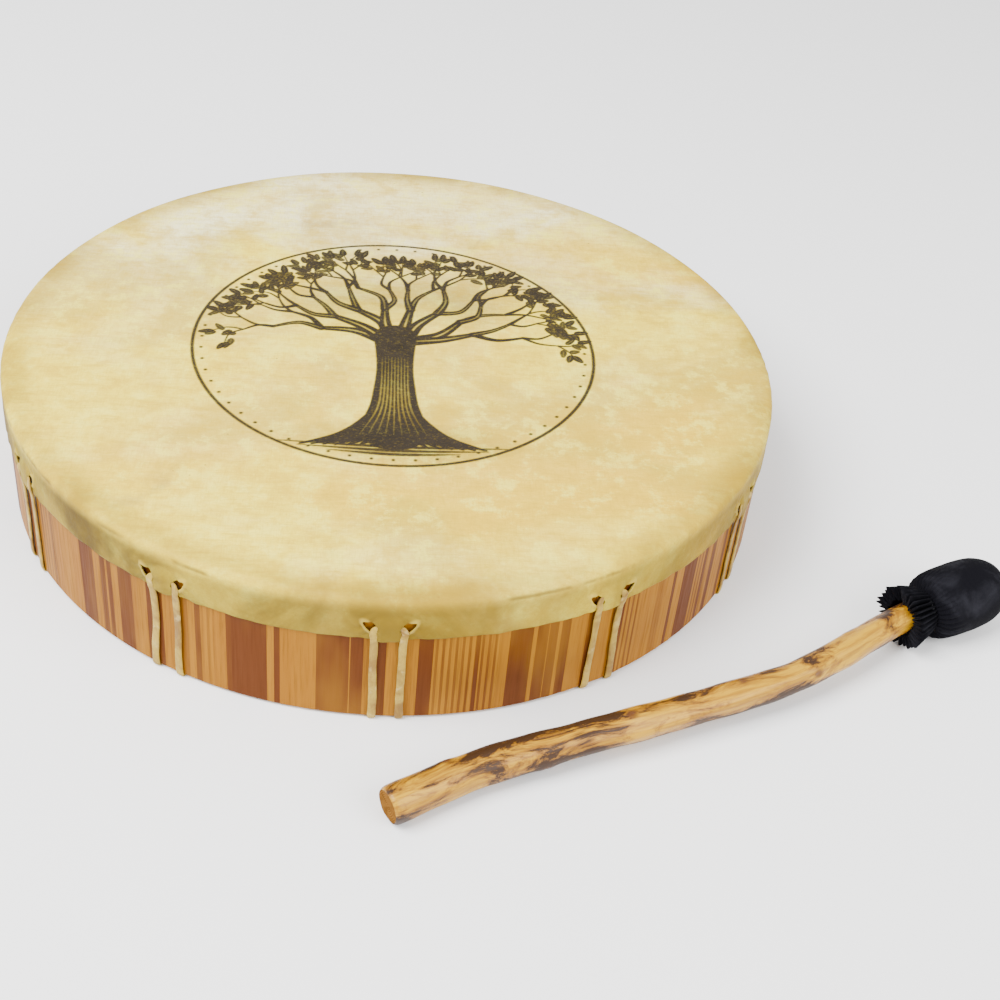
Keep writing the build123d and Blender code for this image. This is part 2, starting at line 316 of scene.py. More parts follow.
def use(tree, made_group, inputs):
    placed = node(tree, "Group", node_tree=made_group)
    for name, value in inputs.items():
        if isinstance(value, bpy.types.NodeSocket):
            tree.links.new(value, placed.inputs[name])
        else:
            placed.inputs[name].default_value = value
    return placed.outputs


def clouds_group():
    """Soft clouds that drift from one mask to another, for hide, wood and felt."""
    def fill(tree, given):
        broad = noise(tree, given["Vector"], given["Scale"], 5, 0.6, 0.6)
        return {"Mask": between(tree, broad, given["Low"], given["High"])}
    return group("Clouds", [("Vector", "Vector", None), ("Scale", "Float", 10.0), ("Low", "Float", 0.4),
                            ("High", "Float", 0.6)], [("Mask", "Float")], fill)


def grain_group():
    """Fine pores and streaks for the height of a Bump node."""
    def fill(tree, given):
        fine = noise(tree, given["Vector"], given["Scale"], 6, 0.65)
        coarse = noise(tree, given["Vector"], maths(tree, "MULTIPLY", given["Scale"], 0.22), 3, 0.5)
        both = maths(tree, "ADD", maths(tree, "MULTIPLY", fine, 0.6), maths(tree, "MULTIPLY", coarse, 0.9))
        return {"Height": maths(tree, "MULTIPLY", both, given["Strength"]), "Mask": fine}
    return group("Grain", [("Vector", "Vector", None), ("Scale", "Float", 900.0), ("Strength", "Float", 1.0)],
                 [("Height", "Float"), ("Mask", "Float")], fill)


def weave_group():
    """Plain weave over a UV map: threads over and under, with slubs."""
    def fill(tree, given):
        split = node(tree, "SeparateXYZ", {"Vector": given["Vector"]}).outputs
        across = maths(tree, "MULTIPLY", split["X"], given["Threads"])
        along = maths(tree, "MULTIPLY", split["Y"], given["Threads"])
        warp = maths(tree, "SINE", maths(tree, "MULTIPLY", across, tau))
        weft = maths(tree, "SINE", maths(tree, "MULTIPLY", along, tau))
        woven = maths(tree, "MULTIPLY", warp, weft)
        slub = noise(tree, given["Vector"], 260, 3)
        return {"Height": maths(tree, "ADD", maths(tree, "MULTIPLY", woven, 0.5), slub),
                "Mask": between(tree, woven, -0.8, 0.8)}
    return group("Weave", [("Vector", "Vector", None), ("Threads", "Float", 1400.0)],
                 [("Height", "Float"), ("Mask", "Float")], fill)


def new_material(name):
    made = bpy.data.materials.new(name)
    made.use_nodes = True
    made.node_tree.nodes.clear()
    return made, made.node_tree


def finish_material(made, base, roughness, height=None, bump=0.3, distance=0.2 * MM, **constants):
    """Principled shader and output of a material, with the bump of one height."""
    tree = made.node_tree
    shader = node(tree, "BsdfPrincipled", {"Base Color": base, "Roughness": roughness})
    for name, value in constants.items():
        socket = shader.inputs[name.replace("_", " ")]
        if isinstance(value, bpy.types.NodeSocket):
            tree.links.new(value, socket)
        else:
            socket.default_value = value
    if height is not None:
        lifted = node(tree, "Bump", {"Strength": bump, "Distance": distance, "Height": height})
        tree.links.new(lifted.outputs["Normal"], shader.inputs["Normal"])
    output = tree.nodes.new("ShaderNodeOutputMaterial")
    tree.links.new(shader.outputs["BSDF"], output.inputs["Surface"])
    made.diffuse_color = (0.6, 0.5, 0.35, 1)
    return made


# ---- materials --------------------------------------------------------------------------------------

def hide_material():
    """Goat rawhide: cloudy cream and amber, darker where it is folded over the hoop, with painted shade on
    the skirt and along the fold's crease.
    """
    tint = settings("drum_colours")
    made, tree = new_material("rawhide head")
    place = node(tree, "TexCoord").outputs["Object"]
    split = node(tree, "SeparateXYZ", {"Vector": place}).outputs
    x, y, z = split["X"], split["Y"], split["Z"]
    flat = stretched(tree, place, (1.0, 1.6, 0.4))
    amber = use(tree, clouds_group(), {"Vector": flat, "Scale": 5.5, "Low": 0.40, "High": 0.58})["Mask"]
    toward = maths(tree, "ADD", maths(tree, "MULTIPLY", x, 0.75), maths(tree, "MULTIPLY", y, -0.55))
    side = between(tree, toward, -0.16, 0.16, 0.22, 1.0)
    amber = maths(tree, "MULTIPLY", amber, side)
    white = use(tree, clouds_group(), {"Vector": flat, "Scale": 7.0, "Low": 0.40, "High": 0.62})["Mask"]
    back = between(tree, y, 0.00, 0.13, 0.22, 1.0)
    white = maths(tree, "MINIMUM", maths(tree, "ADD", white, between(tree, y, 0.08, 0.17, 0, 0.5)), 1.0)
    base = blend(tree, maths(tree, "MULTIPLY", white, back), tint.hide_pale, tint.hide_white)
    base = blend(tree, maths(tree, "MULTIPLY", amber, 0.85), base, tint.hide_amber)
    dusk = use(tree, clouds_group(), {"Vector": flat, "Scale": 8.0, "Low": 0.46, "High": 0.60})["Mask"]
    base = blend(tree, maths(tree, "MULTIPLY", dusk, 0.55), base, (0.50, 0.36, 0.030))
    streak = noise(tree, stretched(tree, place, (9, 60, 9)), 6, 5, 0.6)
    base = blend(tree, between(tree, streak, 0.46, 0.68, 0, 0.34), base, (0.54, 0.36, 0.018))
    mottle = noise(tree, place, 75, 6, 0.7)
    base = blend(tree, between(tree, mottle, 0.47, 0.66, 0, 0.50), base, (0.60, 0.38, 0.014))
    base = blend(tree, between(tree, mottle, 0.50, 0.36, 0, 0.55), base, (0.93, 0.83, 0.12))
    for thread in ((1, 0.10, 1), (0.10, 1, 1)):
        fine = noise(tree, stretched(tree, place, thread), 1500, 2, 0.5)
        base = blend(tree, between(tree, fine, 0.48, 0.66, 0, 0.16), base, (0.44, 0.29, 0.016))
    mark = use(tree, clouds_group(), {"Vector": place, "Scale": 14, "Low": 0.62, "High": 0.76})["Mask"]
    base = blend(tree, maths(tree, "MULTIPLY", mark, 0.45), base, (0.30, 0.18, 0.04))
    reach = node(tree, "VectorMath", {0: node(tree, "CombineXYZ", {"X": x, "Y": y}).outputs[0]},
                 operation="LENGTH").outputs["Value"]
    folded = between(tree, reach, 0.178, 0.1985, 0, 0.70)
    # Painted shade: the skirt below the fold is made much darker, partly its own darker hide and partly
    # painted shade, full on the left and back and easing to 0.6 towards the right and front.
    low = maths(tree, "MULTIPLY", between(tree, z, 0.0715, 0.065, 0, 1.0),
                between(tree, toward, -0.02, 0.15, 1.0, 0.60))
    skirt_cloud = use(tree, clouds_group(), {"Vector": place, "Scale": 16, "Low": 0.30, "High": 0.66})["Mask"]
    base = blend(tree, maths(tree, "MULTIPLY", folded, maths(tree, "ADD", skirt_cloud, 0.25)),
                 base, (0.30, 0.185, 0.008))
    base = blend(tree, maths(tree, "MULTIPLY", low, maths(tree, "ADD", maths(
                 tree, "MULTIPLY", skirt_cloud, 0.4), 0.6)), base, (0.085, 0.052, 0.004))
    speck = node(tree, "TexVoronoi", {"Vector": place, "Scale": 150.0, "Randomness": 1.0}).outputs["Distance"]
    dot = maths(tree, "MULTIPLY", between(tree, speck, 0.10, 0.04),
                between(tree, noise(tree, place, 18, 2), 0.60, 0.66))
    base = blend(tree, maths(tree, "MULTIPLY", dot, 0.7), base, tint.hide_brown)
    pale = node(tree, "Attribute", attribute_name="lip").outputs["Fac"]
    base = blend(tree, maths(tree, "MULTIPLY", pale, 0.45), base, (0.60, 0.44, 0.08))
    # Painted shade: a dark line along the crease where the skin bends down over the hoop (z 68 to 71.5 mm),
    # broken up by noise.
    crease = maths(tree, "MULTIPLY", between(tree, z, 0.0715, 0.0700), between(tree, z, 0.0680, 0.0696))
    crease = maths(tree, "MULTIPLY", crease, between(tree, noise(tree, place, 26, 4), 0.50, 0.60))
    base = blend(tree, maths(tree, "MULTIPLY", crease, 0.6), base, (0.10, 0.055, 0.008))
    grain = use(tree, grain_group(), {"Vector": stretched(tree, place, (1, 2.2, 1)), "Scale": 520,
                                      "Strength": 1.0})
    base = blend(tree, between(tree, grain["Mask"], 0.35, 0.7, 0, 0.10), base, tint.hide_brown)
    rough = between(tree, grain["Mask"], 0.3, 0.7, 0.50, 0.66)
    return finish_material(made, base, rough, grain["Height"], 0.35, 0.25 * MM,
                           Specular_IOR_Level=0.10)


def ink_material():
    """Black-brown ink that has soaked into the skin; thin where the brush was dry."""
    tint = settings("drum_colours")
    made, tree = new_material("drawing ink")
    place = node(tree, "TexCoord").outputs["Object"]
    strength = node(tree, "Attribute", attribute_name="ink").outputs["Fac"]
    dry = noise(tree, stretched(tree, place, (1, 1.5, 1)), 620, 4, 0.7)
    cover = maths(tree, "MULTIPLY", strength, between(tree, dry, 0.25, 0.55, 0.72, 1.0))
    base = blend(tree, noise(tree, place, 90, 3), tint.ink, (0.034, 0.026, 0.018))
    made.blend_method = "HASHED"
    return finish_material(made, base, between(tree, dry, 0.3, 0.7, 0.62, 0.80), dry, 0.15, 0.1 * MM,
                           Alpha=cover, Specular_IOR_Level=0.08)


def veneer_material():
    """Hoop veneer of narrow upright strips, honey to red-brown, some with fine dark lines."""
    tint = settings("drum_colours")
    made, tree = new_material("striped veneer")
    place = node(tree, "TexCoord").outputs["Object"]
    split = node(tree, "SeparateXYZ", {"Vector": place}).outputs
    angle = maths(tree, "ARCTAN2", split["Y"], split["X"])
    round_ = node(tree, "CombineXYZ", {"X": split["X"], "Y": split["Y"], "Z": 0.0}).outputs[0]
    strips = node(tree, "TexVoronoi", {"Vector": round_, "Scale": 170.0, "Randomness": 0.9})
    tone = node(tree, "SeparateXYZ", {"Vector": strips.outputs["Color"]}).outputs["X"]
    deep = between(tree, tone, 0.50, 0.58)
    base = blend(tree, deep, tint.wood_pale, tint.wood_red)
    base = blend(tree, between(tree, tone, 0.0, 0.5, 0.30, 0.0), base, (0.37, 0.165, 0.006))
    pins = maths(tree, "SINE", maths(tree, "MULTIPLY", angle, 420.0))
    grouped = between(tree, noise(tree, round_, 22, 1), 0.52, 0.60)
    pins = maths(tree, "MULTIPLY", between(tree, pins, -0.1, 0.6), grouped)
    base = blend(tree, maths(tree, "MULTIPLY", pins, 0.75), base, tint.wood_red)
    upright = stretched(tree, place, (1, 1, 0.035))
    fibre = noise(tree, upright, 900, 5, 0.7)
    base = blend(tree, between(tree, fibre, 0.42, 0.72, 0, 0.42), base, (0.060, 0.015, 0.001))
    glow = noise(tree, stretched(tree, place, (1, 1, 0.3)), 30, 3)
    base = blend(tree, between(tree, glow, 0.45, 0.7, 0, 0.30), base, (0.38, 0.17, 0.007))
    seam = between(tree, strips.outputs["Distance"], 0.0, 0.02)
    height = maths(tree, "ADD", fibre, maths(tree, "MULTIPLY", seam, 0.2))
    return finish_material(made, base, between(tree, fibre, 0.3, 0.7, 0.42, 0.60), height, 0.20,
                           0.15 * MM, Specular_IOR_Level=0.10)


def core_material():
    """Core ply: plain wood seen at the hoop's lower edge, its layers running round it."""
    made, tree = new_material("hoop core wood")
    place = node(tree, "TexCoord").outputs["Object"]
    layers = noise(tree, stretched(tree, place, (1, 1, 12)), 70, 5, 0.6)
    base = blend(tree, between(tree, layers, 0.35, 0.7), (0.60, 0.36, 0.14), (0.36, 0.18, 0.055))
    grain = use(tree, grain_group(), {"Vector": place, "Scale": 700, "Strength": 1.0})
    return finish_material(made, base, between(tree, grain["Mask"], 0.3, 0.7, 0.5, 0.68),
                           grain["Height"], 0.3, 0.2 * MM)


def lace_material(name, dark):
    """Dried rawhide lace: pale honey with translucent darker stretches and frayed pale edges."""
    tint = settings("drum_colours")
    made, tree = new_material(name)
    place = node(tree, "TexCoord").outputs["Object"]
    cloud = use(tree, clouds_group(), {"Vector": place, "Scale": 75, "Low": 0.36, "High": 0.66})["Mask"]
    shade = [channel * dark for channel in tint.lace]
    base = blend(tree, cloud, shade, (0.20 * dark, 0.105 * dark, 0.015 * dark))
    pale = use(tree, clouds_group(), {"Vector": place, "Scale": 120, "Low": 0.56, "High": 0.70})["Mask"]
    base = blend(tree, maths(tree, "MULTIPLY", pale, 0.45), base, (0.66, 0.52, 0.20))
    grain = use(tree, grain_group(), {"Vector": stretched(tree, place, (1, 1, 0.3)), "Scale": 1100,
                                      "Strength": 1.0})
    base = blend(tree, between(tree, grain["Mask"], 0.4, 0.75, 0, 0.35), base, tint.hide_brown)
    return finish_material(made, base, between(tree, grain["Mask"], 0.3, 0.7, 0.36, 0.6),
                           grain["Height"], 0.5, 0.25 * MM, Specular_IOR_Level=0.25)


def branch_material():
    """Peeled branch, burnt in long streaks and lacquered, with painted shade along its silhouette edges in
    the camera's view.
    """
    tint = settings("drum_colours")
    made, tree = new_material("lacquered branch")
    local = node(tree, "Attribute", attribute_name="branch_at").outputs["Vector"]
    knot = node(tree, "Attribute", attribute_name="knot").outputs["Fac"]
    long_ = stretched(tree, local, (0.30, 1, 1))
    fibre = noise(tree, stretched(tree, local, (0.05, 1, 1)), 620, 5, 0.65)
    gold = blend(tree, noise(tree, long_, 70, 4), tint.branch_gold, (0.44, 0.215, 0.006))
    base = blend(tree, between(tree, fibre, 0.44, 0.66, 0, 0.62), gold, (0.22, 0.085, 0.004))
    burn = noise(tree, long_, 105, 8, 0.74, 0.9)
    zone = noise(tree, stretched(tree, local, (1, 0.2, 0.2)), 19, 2)
    split = node(tree, "SeparateXYZ", {"Vector": local}).outputs
    # Painted shade: rises towards the two edges of the branch that stand across the camera's view, its
    # silhouettes, and pushes them into the browning and burn colours.
    edge_shade = maths(tree, "ABSOLUTE", maths(tree, "ADD", maths(tree, "MULTIPLY", split["Y"], 0.62),
                                          maths(tree, "MULTIPLY", split["Z"], 0.78)))
    edge_shade = between(tree, edge_shade, 0.0035, 0.0080, -0.02, 0.085)
    level = maths(tree, "ADD", maths(tree, "ADD", burn, edge_shade), maths(
        tree, "MULTIPLY", maths(tree, "SUBTRACT", zone, 0.5), 0.50))
    # The burn and browning masks below carry the real burnt streaks and that painted edge shade together.
    scorch_and_edge_shade = between(tree, level, 0.53, 0.60)
    brown = between(tree, level, 0.43, 0.56)
    lines = noise(tree, stretched(tree, local, (0.10, 1, 1)), 330, 4, 0.6)
    base = blend(tree, between(tree, lines, 0.50, 0.60, 0, 0.45), base, (0.27, 0.115, 0.004))
    base = blend(tree, maths(tree, "MULTIPLY", brown, 0.85), base, (0.20, 0.072, 0.004))
    base = blend(tree, maths(tree, "MULTIPLY", scorch_and_edge_shade, 0.93), base, tint.branch_scorch)
    base = blend(tree, knot, base, (0.10, 0.035, 0.010))
    height = maths(tree, "SUBTRACT", fibre, maths(tree, "MULTIPLY", scorch_and_edge_shade, 0.4))
    return finish_material(made, base, between(tree, scorch_and_edge_shade, 0, 1, 0.28, 0.46), height, 0.75, 0.4 * MM,
                           Coat_Weight=0.10, Coat_Roughness=0.22, Specular_IOR_Level=0.20)


def end_grain_material():
    """Sawn butt of the branch: dull and dark, with its growth rings."""
    made, tree = new_material("branch end grain")
    local = node(tree, "Attribute", attribute_name="branch_at").outputs["Vector"]
    across = stretched(tree, local, (0, 1, 1))
    reach = node(tree, "VectorMath", {0: across}, operation="LENGTH").outputs["Value"]
    wander = maths(tree, "MULTIPLY", noise(tree, local, 160, 3), 0.002)
    ring = maths(tree, "SINE", maths(tree, "MULTIPLY", maths(tree, "ADD", reach, wander), 6500.0))
    base = blend(tree, between(tree, ring, -0.6, 0.8), (0.13, 0.052, 0.010), (0.24, 0.11, 0.024))
    dirt = between(tree, noise(tree, local, 330, 4), 0.45, 0.65, 0, 0.5)
    base = blend(tree, dirt, base, (0.07, 0.028, 0.006))
    base = blend(tree, between(tree, reach, 0.0070, 0.0085), base, (0.05, 0.02, 0.006))
    grain = use(tree, grain_group(), {"Vector": local, "Scale": 1200, "Strength": 1.0})
    return finish_material(made, base, between(tree, grain["Mask"], 0, 1, 0.98, 0.88), grain["Height"], 0.5,
                           0.3 * MM, Specular_IOR_Level=0.0)


def cloth_material(name, lift):
    """Black woven cloth with a little dust and a soft sheen."""
    tint = settings("drum_colours")
    made, tree = new_material(name)
    threads = node(tree, "UVMap", uv_map="cloth").outputs["UV"]
    weave = use(tree, weave_group(), {"Vector": threads, "Threads": 1250.0})
    place = node(tree, "TexCoord").outputs["Object"]
    worn = use(tree, clouds_group(), {"Vector": place, "Scale": 60, "Low": 0.45, "High": 0.75})["Mask"]
    # lift scales the cloth's colour; the frill's lift below 1 is painted shade.
    shade = [channel * lift for channel in tint.cloth]
    base = blend(tree, weave["Mask"], [channel * 0.45 for channel in shade], shade)
    base = blend(tree, maths(tree, "MULTIPLY", worn, 0.22), base, (0.05, 0.05, 0.062))
    return finish_material(made, base, between(tree, weave["Mask"], 0, 1, 0.95, 0.82), weave["Height"],
                           0.6, 0.25 * MM, Specular_IOR_Level=0.06)


def stuffing_material(name, light, dark, scale):
    """Felt or wadding: tangled pale fibre."""
    made, tree = new_material(name)
    place = node(tree, "TexCoord").outputs["Object"]
    grain = use(tree, grain_group(), {"Vector": place, "Scale": scale, "Strength": 1.0})
    base = blend(tree, grain["Mask"], dark, light)
    return finish_material(made, base, between(tree, grain["Mask"], 0, 1, 0.98, 0.86),
                           grain["Height"], 0.8, 0.6 * MM)


def floor_material():
    made, tree = new_material("pale floor")
    tint = settings("stage_sizes").floor_colour
    place = node(tree, "TexCoord").outputs["Object"]
    base = blend(tree, noise(tree, place, 3, 2), tint, [channel * 0.995 for channel in tint])
    return finish_material(made, base, between(tree, noise(tree, place, 8, 2), 0, 1, 0.8, 0.86))


# ---- the head ---------------------------------------------------------------------------------------

def head_relief(x, y):
    """Gentle unevenness of the stretched skin, drawn down a little towards each pair of holes."""
    reach, angle = np.hypot(x, y), np.arctan2(y, x)
    pulled = smooth(0.150, 0.196, reach) * np.cos(PAIRS * angle)
    waves = np.sin(38 * x + 9 * y + 0.6) * np.sin(31 * y - 12 * x + 1.7)
    return (0.10 * waves - 0.16 * pulled - 0.16) * MM


def column_angles(fine=54, coarse=22, reach=0.068):
    """Angles round the drum, closer together across each pair of holes."""
    near = np.linspace(-reach, reach, fine, endpoint=False)
    far = np.linspace(reach, PAIR_STEP - reach, coarse, endpoint=False)
    one = np.concatenate([near, far])
    return np.concatenate([one + n * PAIR_STEP for n in range(PAIRS)])


def pair_offset(angle):
    """Distance round the hoop from the nearest pair, and that pair's number."""
    number = np.round(angle / PAIR_STEP)
    return (angle - number * PAIR_STEP) * HOOP_RADIUS, number.astype(int) % PAIRS


def hole_place(across, height, number):
    """Outward and upward distance from the middle of the slanted hole, and 1 at its edge."""
    sizes = settings("drum_sizes")
    dice = np.random.default_rng(5).uniform(-1, 1, (PAIRS, 3))[number]
    slant = pi / 4 + 0.16 * dice[..., 0]
    out = np.abs(across) - sizes.hole_out
    up = height - sizes.hole_height - 0.5 * MM * dice[..., 1]
    along = out * np.sin(slant) + up * np.cos(slant)
    aside = out * np.cos(slant) - up * np.sin(slant)
    half = (4.7 + 0.5 * dice[..., 2]) * MM
    return along, aside, np.hypot(along / half, aside / (1.75 * MM * (1.25 - 0.35 * along / half)))


def head_rim(angles):
    """Height of the skirt's lower edge round the drum."""
    across, _ = pair_offset(angles)
    wavy = 0.55 * ripple(angles, 4, 5, 22) - 0.25 * ripple(angles, 21, 40, 90)
    drawn = 1.1 * np.exp(-(across / (5.2 * MM)) ** 4)
    return settings("drum_sizes").skirt_low + (wavy - drawn) * MM


def skirt_out(angles, height, number):
    """Distance from the drum's axis of a point of the skirt, and how much it is part of a lip."""
    across = pair_offset(angles)[0]
    puckers, drape = ripple(angles, 11, 60, 150), ripple(angles, 4, 5, 22)
    fade = smooth(0.069, 0.060, height)
    out = HOOP_RADIUS + 0.5 * MM + 0.14 * MM * fade * (1 + puckers)
    out = out + 0.22 * MM * fade * np.maximum(drape, 0)
    tongue = smooth(7.2 * MM, 4.0 * MM, np.abs(across)) * smooth(64 * MM, 58 * MM, height)
    out = out + 1.22 * MM * tongue
    along, aside, edge = hole_place(across, height, number)
    near = smooth(15 * MM, 11 * MM, np.abs(across))
    lip = np.exp(-((edge - 1.12) / 0.34) ** 2) * smooth(-1.2 * MM, 1.2 * MM, aside + 0.8 * along) * near
    out = out + 1.05 * MM * lip
    gather = np.exp(-((np.abs(across) - 13 * MM) / (7 * MM)) ** 2) * fade
    crease = np.sin(tau * (np.abs(across) + 1.3 * (height - 0.057)) / (7 * MM))
    return out + 0.30 * MM * gather * (1 + crease) * (1 - lip), lip


def head_points(angles, skirt_rows=30):
    """Rows of points from the middle of the head down to its skirt, and the lip of every point."""
    sizes = settings("drum_sizes")
    middle_skin = HEAD_TOP - sizes.skin / 2
    bend_reach, bend_height = HOOP_RADIUS - FOLD_IN, HEAD_TOP - FOLD_DOWN + 0.05 * MM
    rows = []
    for reach in (4, 22, 52, 86, 118, 146, 168, 184, 192.5):
        x, y = reach * MM * np.cos(angles), reach * MM * np.sin(angles)
        rows.append(np.stack([x, y, middle_skin + head_relief(x, y)], -1))
    for step in range(5):
        turn = step / 5 * pi / 2
        puckers = 0.14 * MM * (1 + ripple(angles, 11, 60, 150)) * (turn / 1.5) ** 2
        out = bend_reach + FOLD_BEND * sin(turn) + puckers
        x, y = out * np.cos(angles), out * np.sin(angles)
        sink = head_relief(x, y) * cos(turn)
        rows.append(np.stack([x, y, bend_height + FOLD_BEND * cos(turn) + sink], -1))
    lips = [np.zeros_like(angles)] * len(rows)
    inside = [np.zeros(len(angles), bool)] * len(rows)
    across, number = pair_offset(angles)
    for share in np.linspace(0, 1, skirt_rows):
        height = bend_height + (head_rim(angles) - bend_height) * share
        edge = hole_place(across, height, number)[2]
        cut = (edge < 1) & (np.abs(across) < 15 * MM)
        here, level = snap_to_hole(angles, height, cut)
        out, lip = skirt_out(here, level, number)
        rows.append(np.stack([out * np.cos(here), out * np.sin(here), level], -1))
        lips.append(lip)
        inside.append(cut)
    return np.array(rows), np.array(lips), np.array(inside)


def snap_to_hole(angles, height, cut):
    """Moves the points that lie inside a hole out to its edge, straight away from its middle."""
    across, number = pair_offset(angles)
    dice = np.random.default_rng(5).uniform(-1, 1, (PAIRS, 3))[number]
    sizes = settings("drum_sizes")
    middle_up = sizes.hole_height + 0.5 * MM * dice[..., 1]
    side = np.sign(across + 1e-9)
    out, up = np.abs(across) - sizes.hole_out, height - middle_up
    size = np.maximum(np.hypot(out, up), 0.05 * MM)
    out, up = out / size, up / size
    far = size.copy()
    for _ in range(12):
        test = hole_place(side * (sizes.hole_out + out * far), middle_up + up * far, number)[2]
        far = np.where(cut, far / np.maximum(test, 0.05), far)
    moved = side * (sizes.hole_out + out * far)
    here = np.where(cut, angles + (moved - across) / HOOP_RADIUS, angles)
    return here, np.where(cut, middle_up + up * far, height)


def stretch_head():
    """Skin over the hoop with its holes cut out, then given its thickness."""
    sizes = settings("drum_sizes")
    angles = column_angles()
    rows, lips, inside = head_points(angles)
    around = len(angles)
    points = rows.reshape(-1, 3)
    faces = band_faces(len(rows), around)
    faces = faces[~inside.reshape(-1)[faces].all(1)]
    top = np.array([[0, 0, HEAD_TOP - sizes.skin / 2 + head_relief(0.0, 0.0)]])
    points = np.vstack([points, top])
    faces = faces.tolist() + fan(len(points) - 1, np.arange(around))
    head = make_piece("rawhide_head", points, faces, hide_material(), "drum", ["drumhead"])
    lip = head.data.attributes.new("lip", "FLOAT", "POINT")
    lip.data.foreach_set("value", np.append(lips.reshape(-1), 0).astype(np.float32))
    shell = head.modifiers.new("thickness", "SOLIDIFY")
    shell.thickness = sizes.skin
    shell.offset = 0
    shell.use_even_offset = False
    return head


# ---- the drawing ------------------------------------------------------------------------------------

# Height of the ink film over the middle of the skin's surface, and the faintest ink that gets a face.
INK_RISE, FAINTEST = 0.06 * MM, 0.05


class Drawing:
    """Square field of ink strengths, drawn on with soft strokes, leaves and washes (millimetres)."""

    def __init__(self, reach, cell):
        self.reach, self.cell = reach, cell
        self.count = int(ceil(2 * reach / cell)) + 1
        self.line = -reach + cell * np.arange(self.count)
        self.ink = np.zeros((self.count, self.count))

    def window(self, x, y, spread):
        low = [max(int((c - spread + self.reach) / self.cell), 0) for c in (x, y)]
        high = [min(int((c + spread + self.reach) / self.cell) + 2, self.count) for c in (x, y)]
        part = (slice(low[1], high[1]), slice(low[0], high[0]))
        return part, self.line[part[1]][None, :] - x, self.line[part[0]][:, None] - y

    def dab(self, x, y, radius, strength=1.0, soft=0.45):
        part, dx, dy = self.window(x, y, radius + soft)
        mark = strength * (1 - smooth(radius - soft, radius + soft, np.hypot(dx, dy)))
        self.ink[part] = np.maximum(self.ink[part], mark)

    def lift(self, x, y, radius, strength=0.5, soft=0.5):
        """Wipes ink away to leave a light mark."""
        part, dx, dy = self.window(x, y, radius + soft)
        self.ink[part] *= 1 - strength * (1 - smooth(radius - soft, radius + soft, np.hypot(dx, dy)))

    def wash(self, x, y, wide, high, strength, turn=0.0):
        """Soft grey cloud."""
        part, dx, dy = self.window(x, y, 2.4 * max(wide, high))
        u, v = dx * cos(turn) + dy * sin(turn), dy * cos(turn) - dx * sin(turn)
        cloud = strength * np.exp(-((u / wide) ** 2 + (v / high) ** 2))
        self.ink[part] = 1 - (1 - self.ink[part]) * (1 - cloud)

    def stroke(self, points, widths, strength=1.0, soft=0.45, wipe=False):
        line = curve_through(np.column_stack([points, widths]), 24)
        spans = np.hypot(*np.diff(line[:, :2], axis=0).T)
        travel = np.concatenate([[0], np.cumsum(spans)])
        even = np.arange(0, travel[-1], 0.45)
        x, y, wide = (np.interp(even, travel, line[:, k]) for k in range(3))
        for px, py, w in zip(x, y, wide):
            (self.lift if wipe else self.dab)(px, py, max(w, 0.1) / 2, strength, soft)

    def leaf(self, x, y, turn, long_, wide, strength=0.9):
        part, dx, dy = self.window(x, y, long_)
        u, v = dx * cos(turn) + dy * sin(turn), dy * cos(turn) - dx * sin(turn)
        share = np.clip(2 * u / long_, -1, 1)
        half = wide / 2 * np.sqrt(1 - share ** 2) * (1 - 0.25 * share)
        mark = strength * (1 - smooth(-0.3, 0.35, np.abs(v) - half)) * (np.abs(2 * u / long_) < 1)
        vein = 1 - 0.22 * np.exp(-(v / 0.35) ** 2) * (np.abs(share) < 0.7) * (wide > 2.4)
        self.ink[part] = np.maximum(self.ink[part], mark * vein)


# Border of the drawing: its ring and its dots, distance from the middle (mm).
BORDER, BORDER_DOTS = 105, 100.5


def on_ring(reach, degrees_):
    return reach * cos(radians(degrees_)), reach * sin(radians(degrees_))


def draw_trunk(sheet):
    """Plain upright trunk, the same on both sides, on a spread foot."""
    trunk = [(0, -76), (0, -58), (0, -40), (0, -24), (0, -8), (0, 8)]
    sheet.stroke(trunk, [34, 25, 21, 19, 20, 23], 0.95)
    for n in range(17):
        start = (n - 8) * 5.6
        sheet.stroke([(start, -90), (start * 0.62, -83), (start * 0.36, -73), (start * 0.16, -56)],
                     [1.4, 4.6, 7.0, 4.0], 0.95)
    for n in range(9):
        lean = (n - 4) * 1.7
        sheet.stroke([(lean * 2.4, -80), (lean * 1.3, -60), (lean, -40), (lean, -12)],
                     [0.2, 0.8, 0.8, 0.2], 0.30, 0.45, wipe=True)


def draw_ground(sheet):
    """Few short ground strokes under the trunk."""
    for n, span in enumerate((58, 46, 32)):
        sheet.stroke([(-span, -88 - 3 * n), (0, -90 - 3 * n), (span, -88 - 3 * n)], [0.6, 2.6, 0.6], 0.85)


def draw_twig(sheet, x, y, turn, span, dice):
    """Twig with a leaf at its tip and leaves on both sides."""
    bend = dice.uniform(-0.4, 0.4)
    end = (x + span * cos(turn + bend), y + span * sin(turn + bend))
    middle = (x + span * 0.5 * cos(turn), y + span * 0.5 * sin(turn))
    sheet.stroke([(x, y), middle, end], [1.3, 1.0, 0.6], 0.92, 0.35)
    sheet.leaf(end[0] + 2.6 * cos(turn + bend), end[1] + 2.6 * sin(turn + bend), turn + bend,
               dice.uniform(7, 9), dice.uniform(3.6, 4.4), 0.93)
    for n, share in enumerate((0.35, 0.6, 0.82)):
        side = (-1) ** n * (1 if dice.random() < 0.5 else -1)
        lean = turn + side * dice.uniform(0.7, 1.1)
        base = (x + (end[0] - x) * share, y + (end[1] - y) * share)
        sheet.leaf(base[0] + 4.0 * cos(lean), base[1] + 4.0 * sin(lean), lean, dice.uniform(6, 8),
                   dice.uniform(3.2, 4.2), dice.uniform(0.8, 0.95))


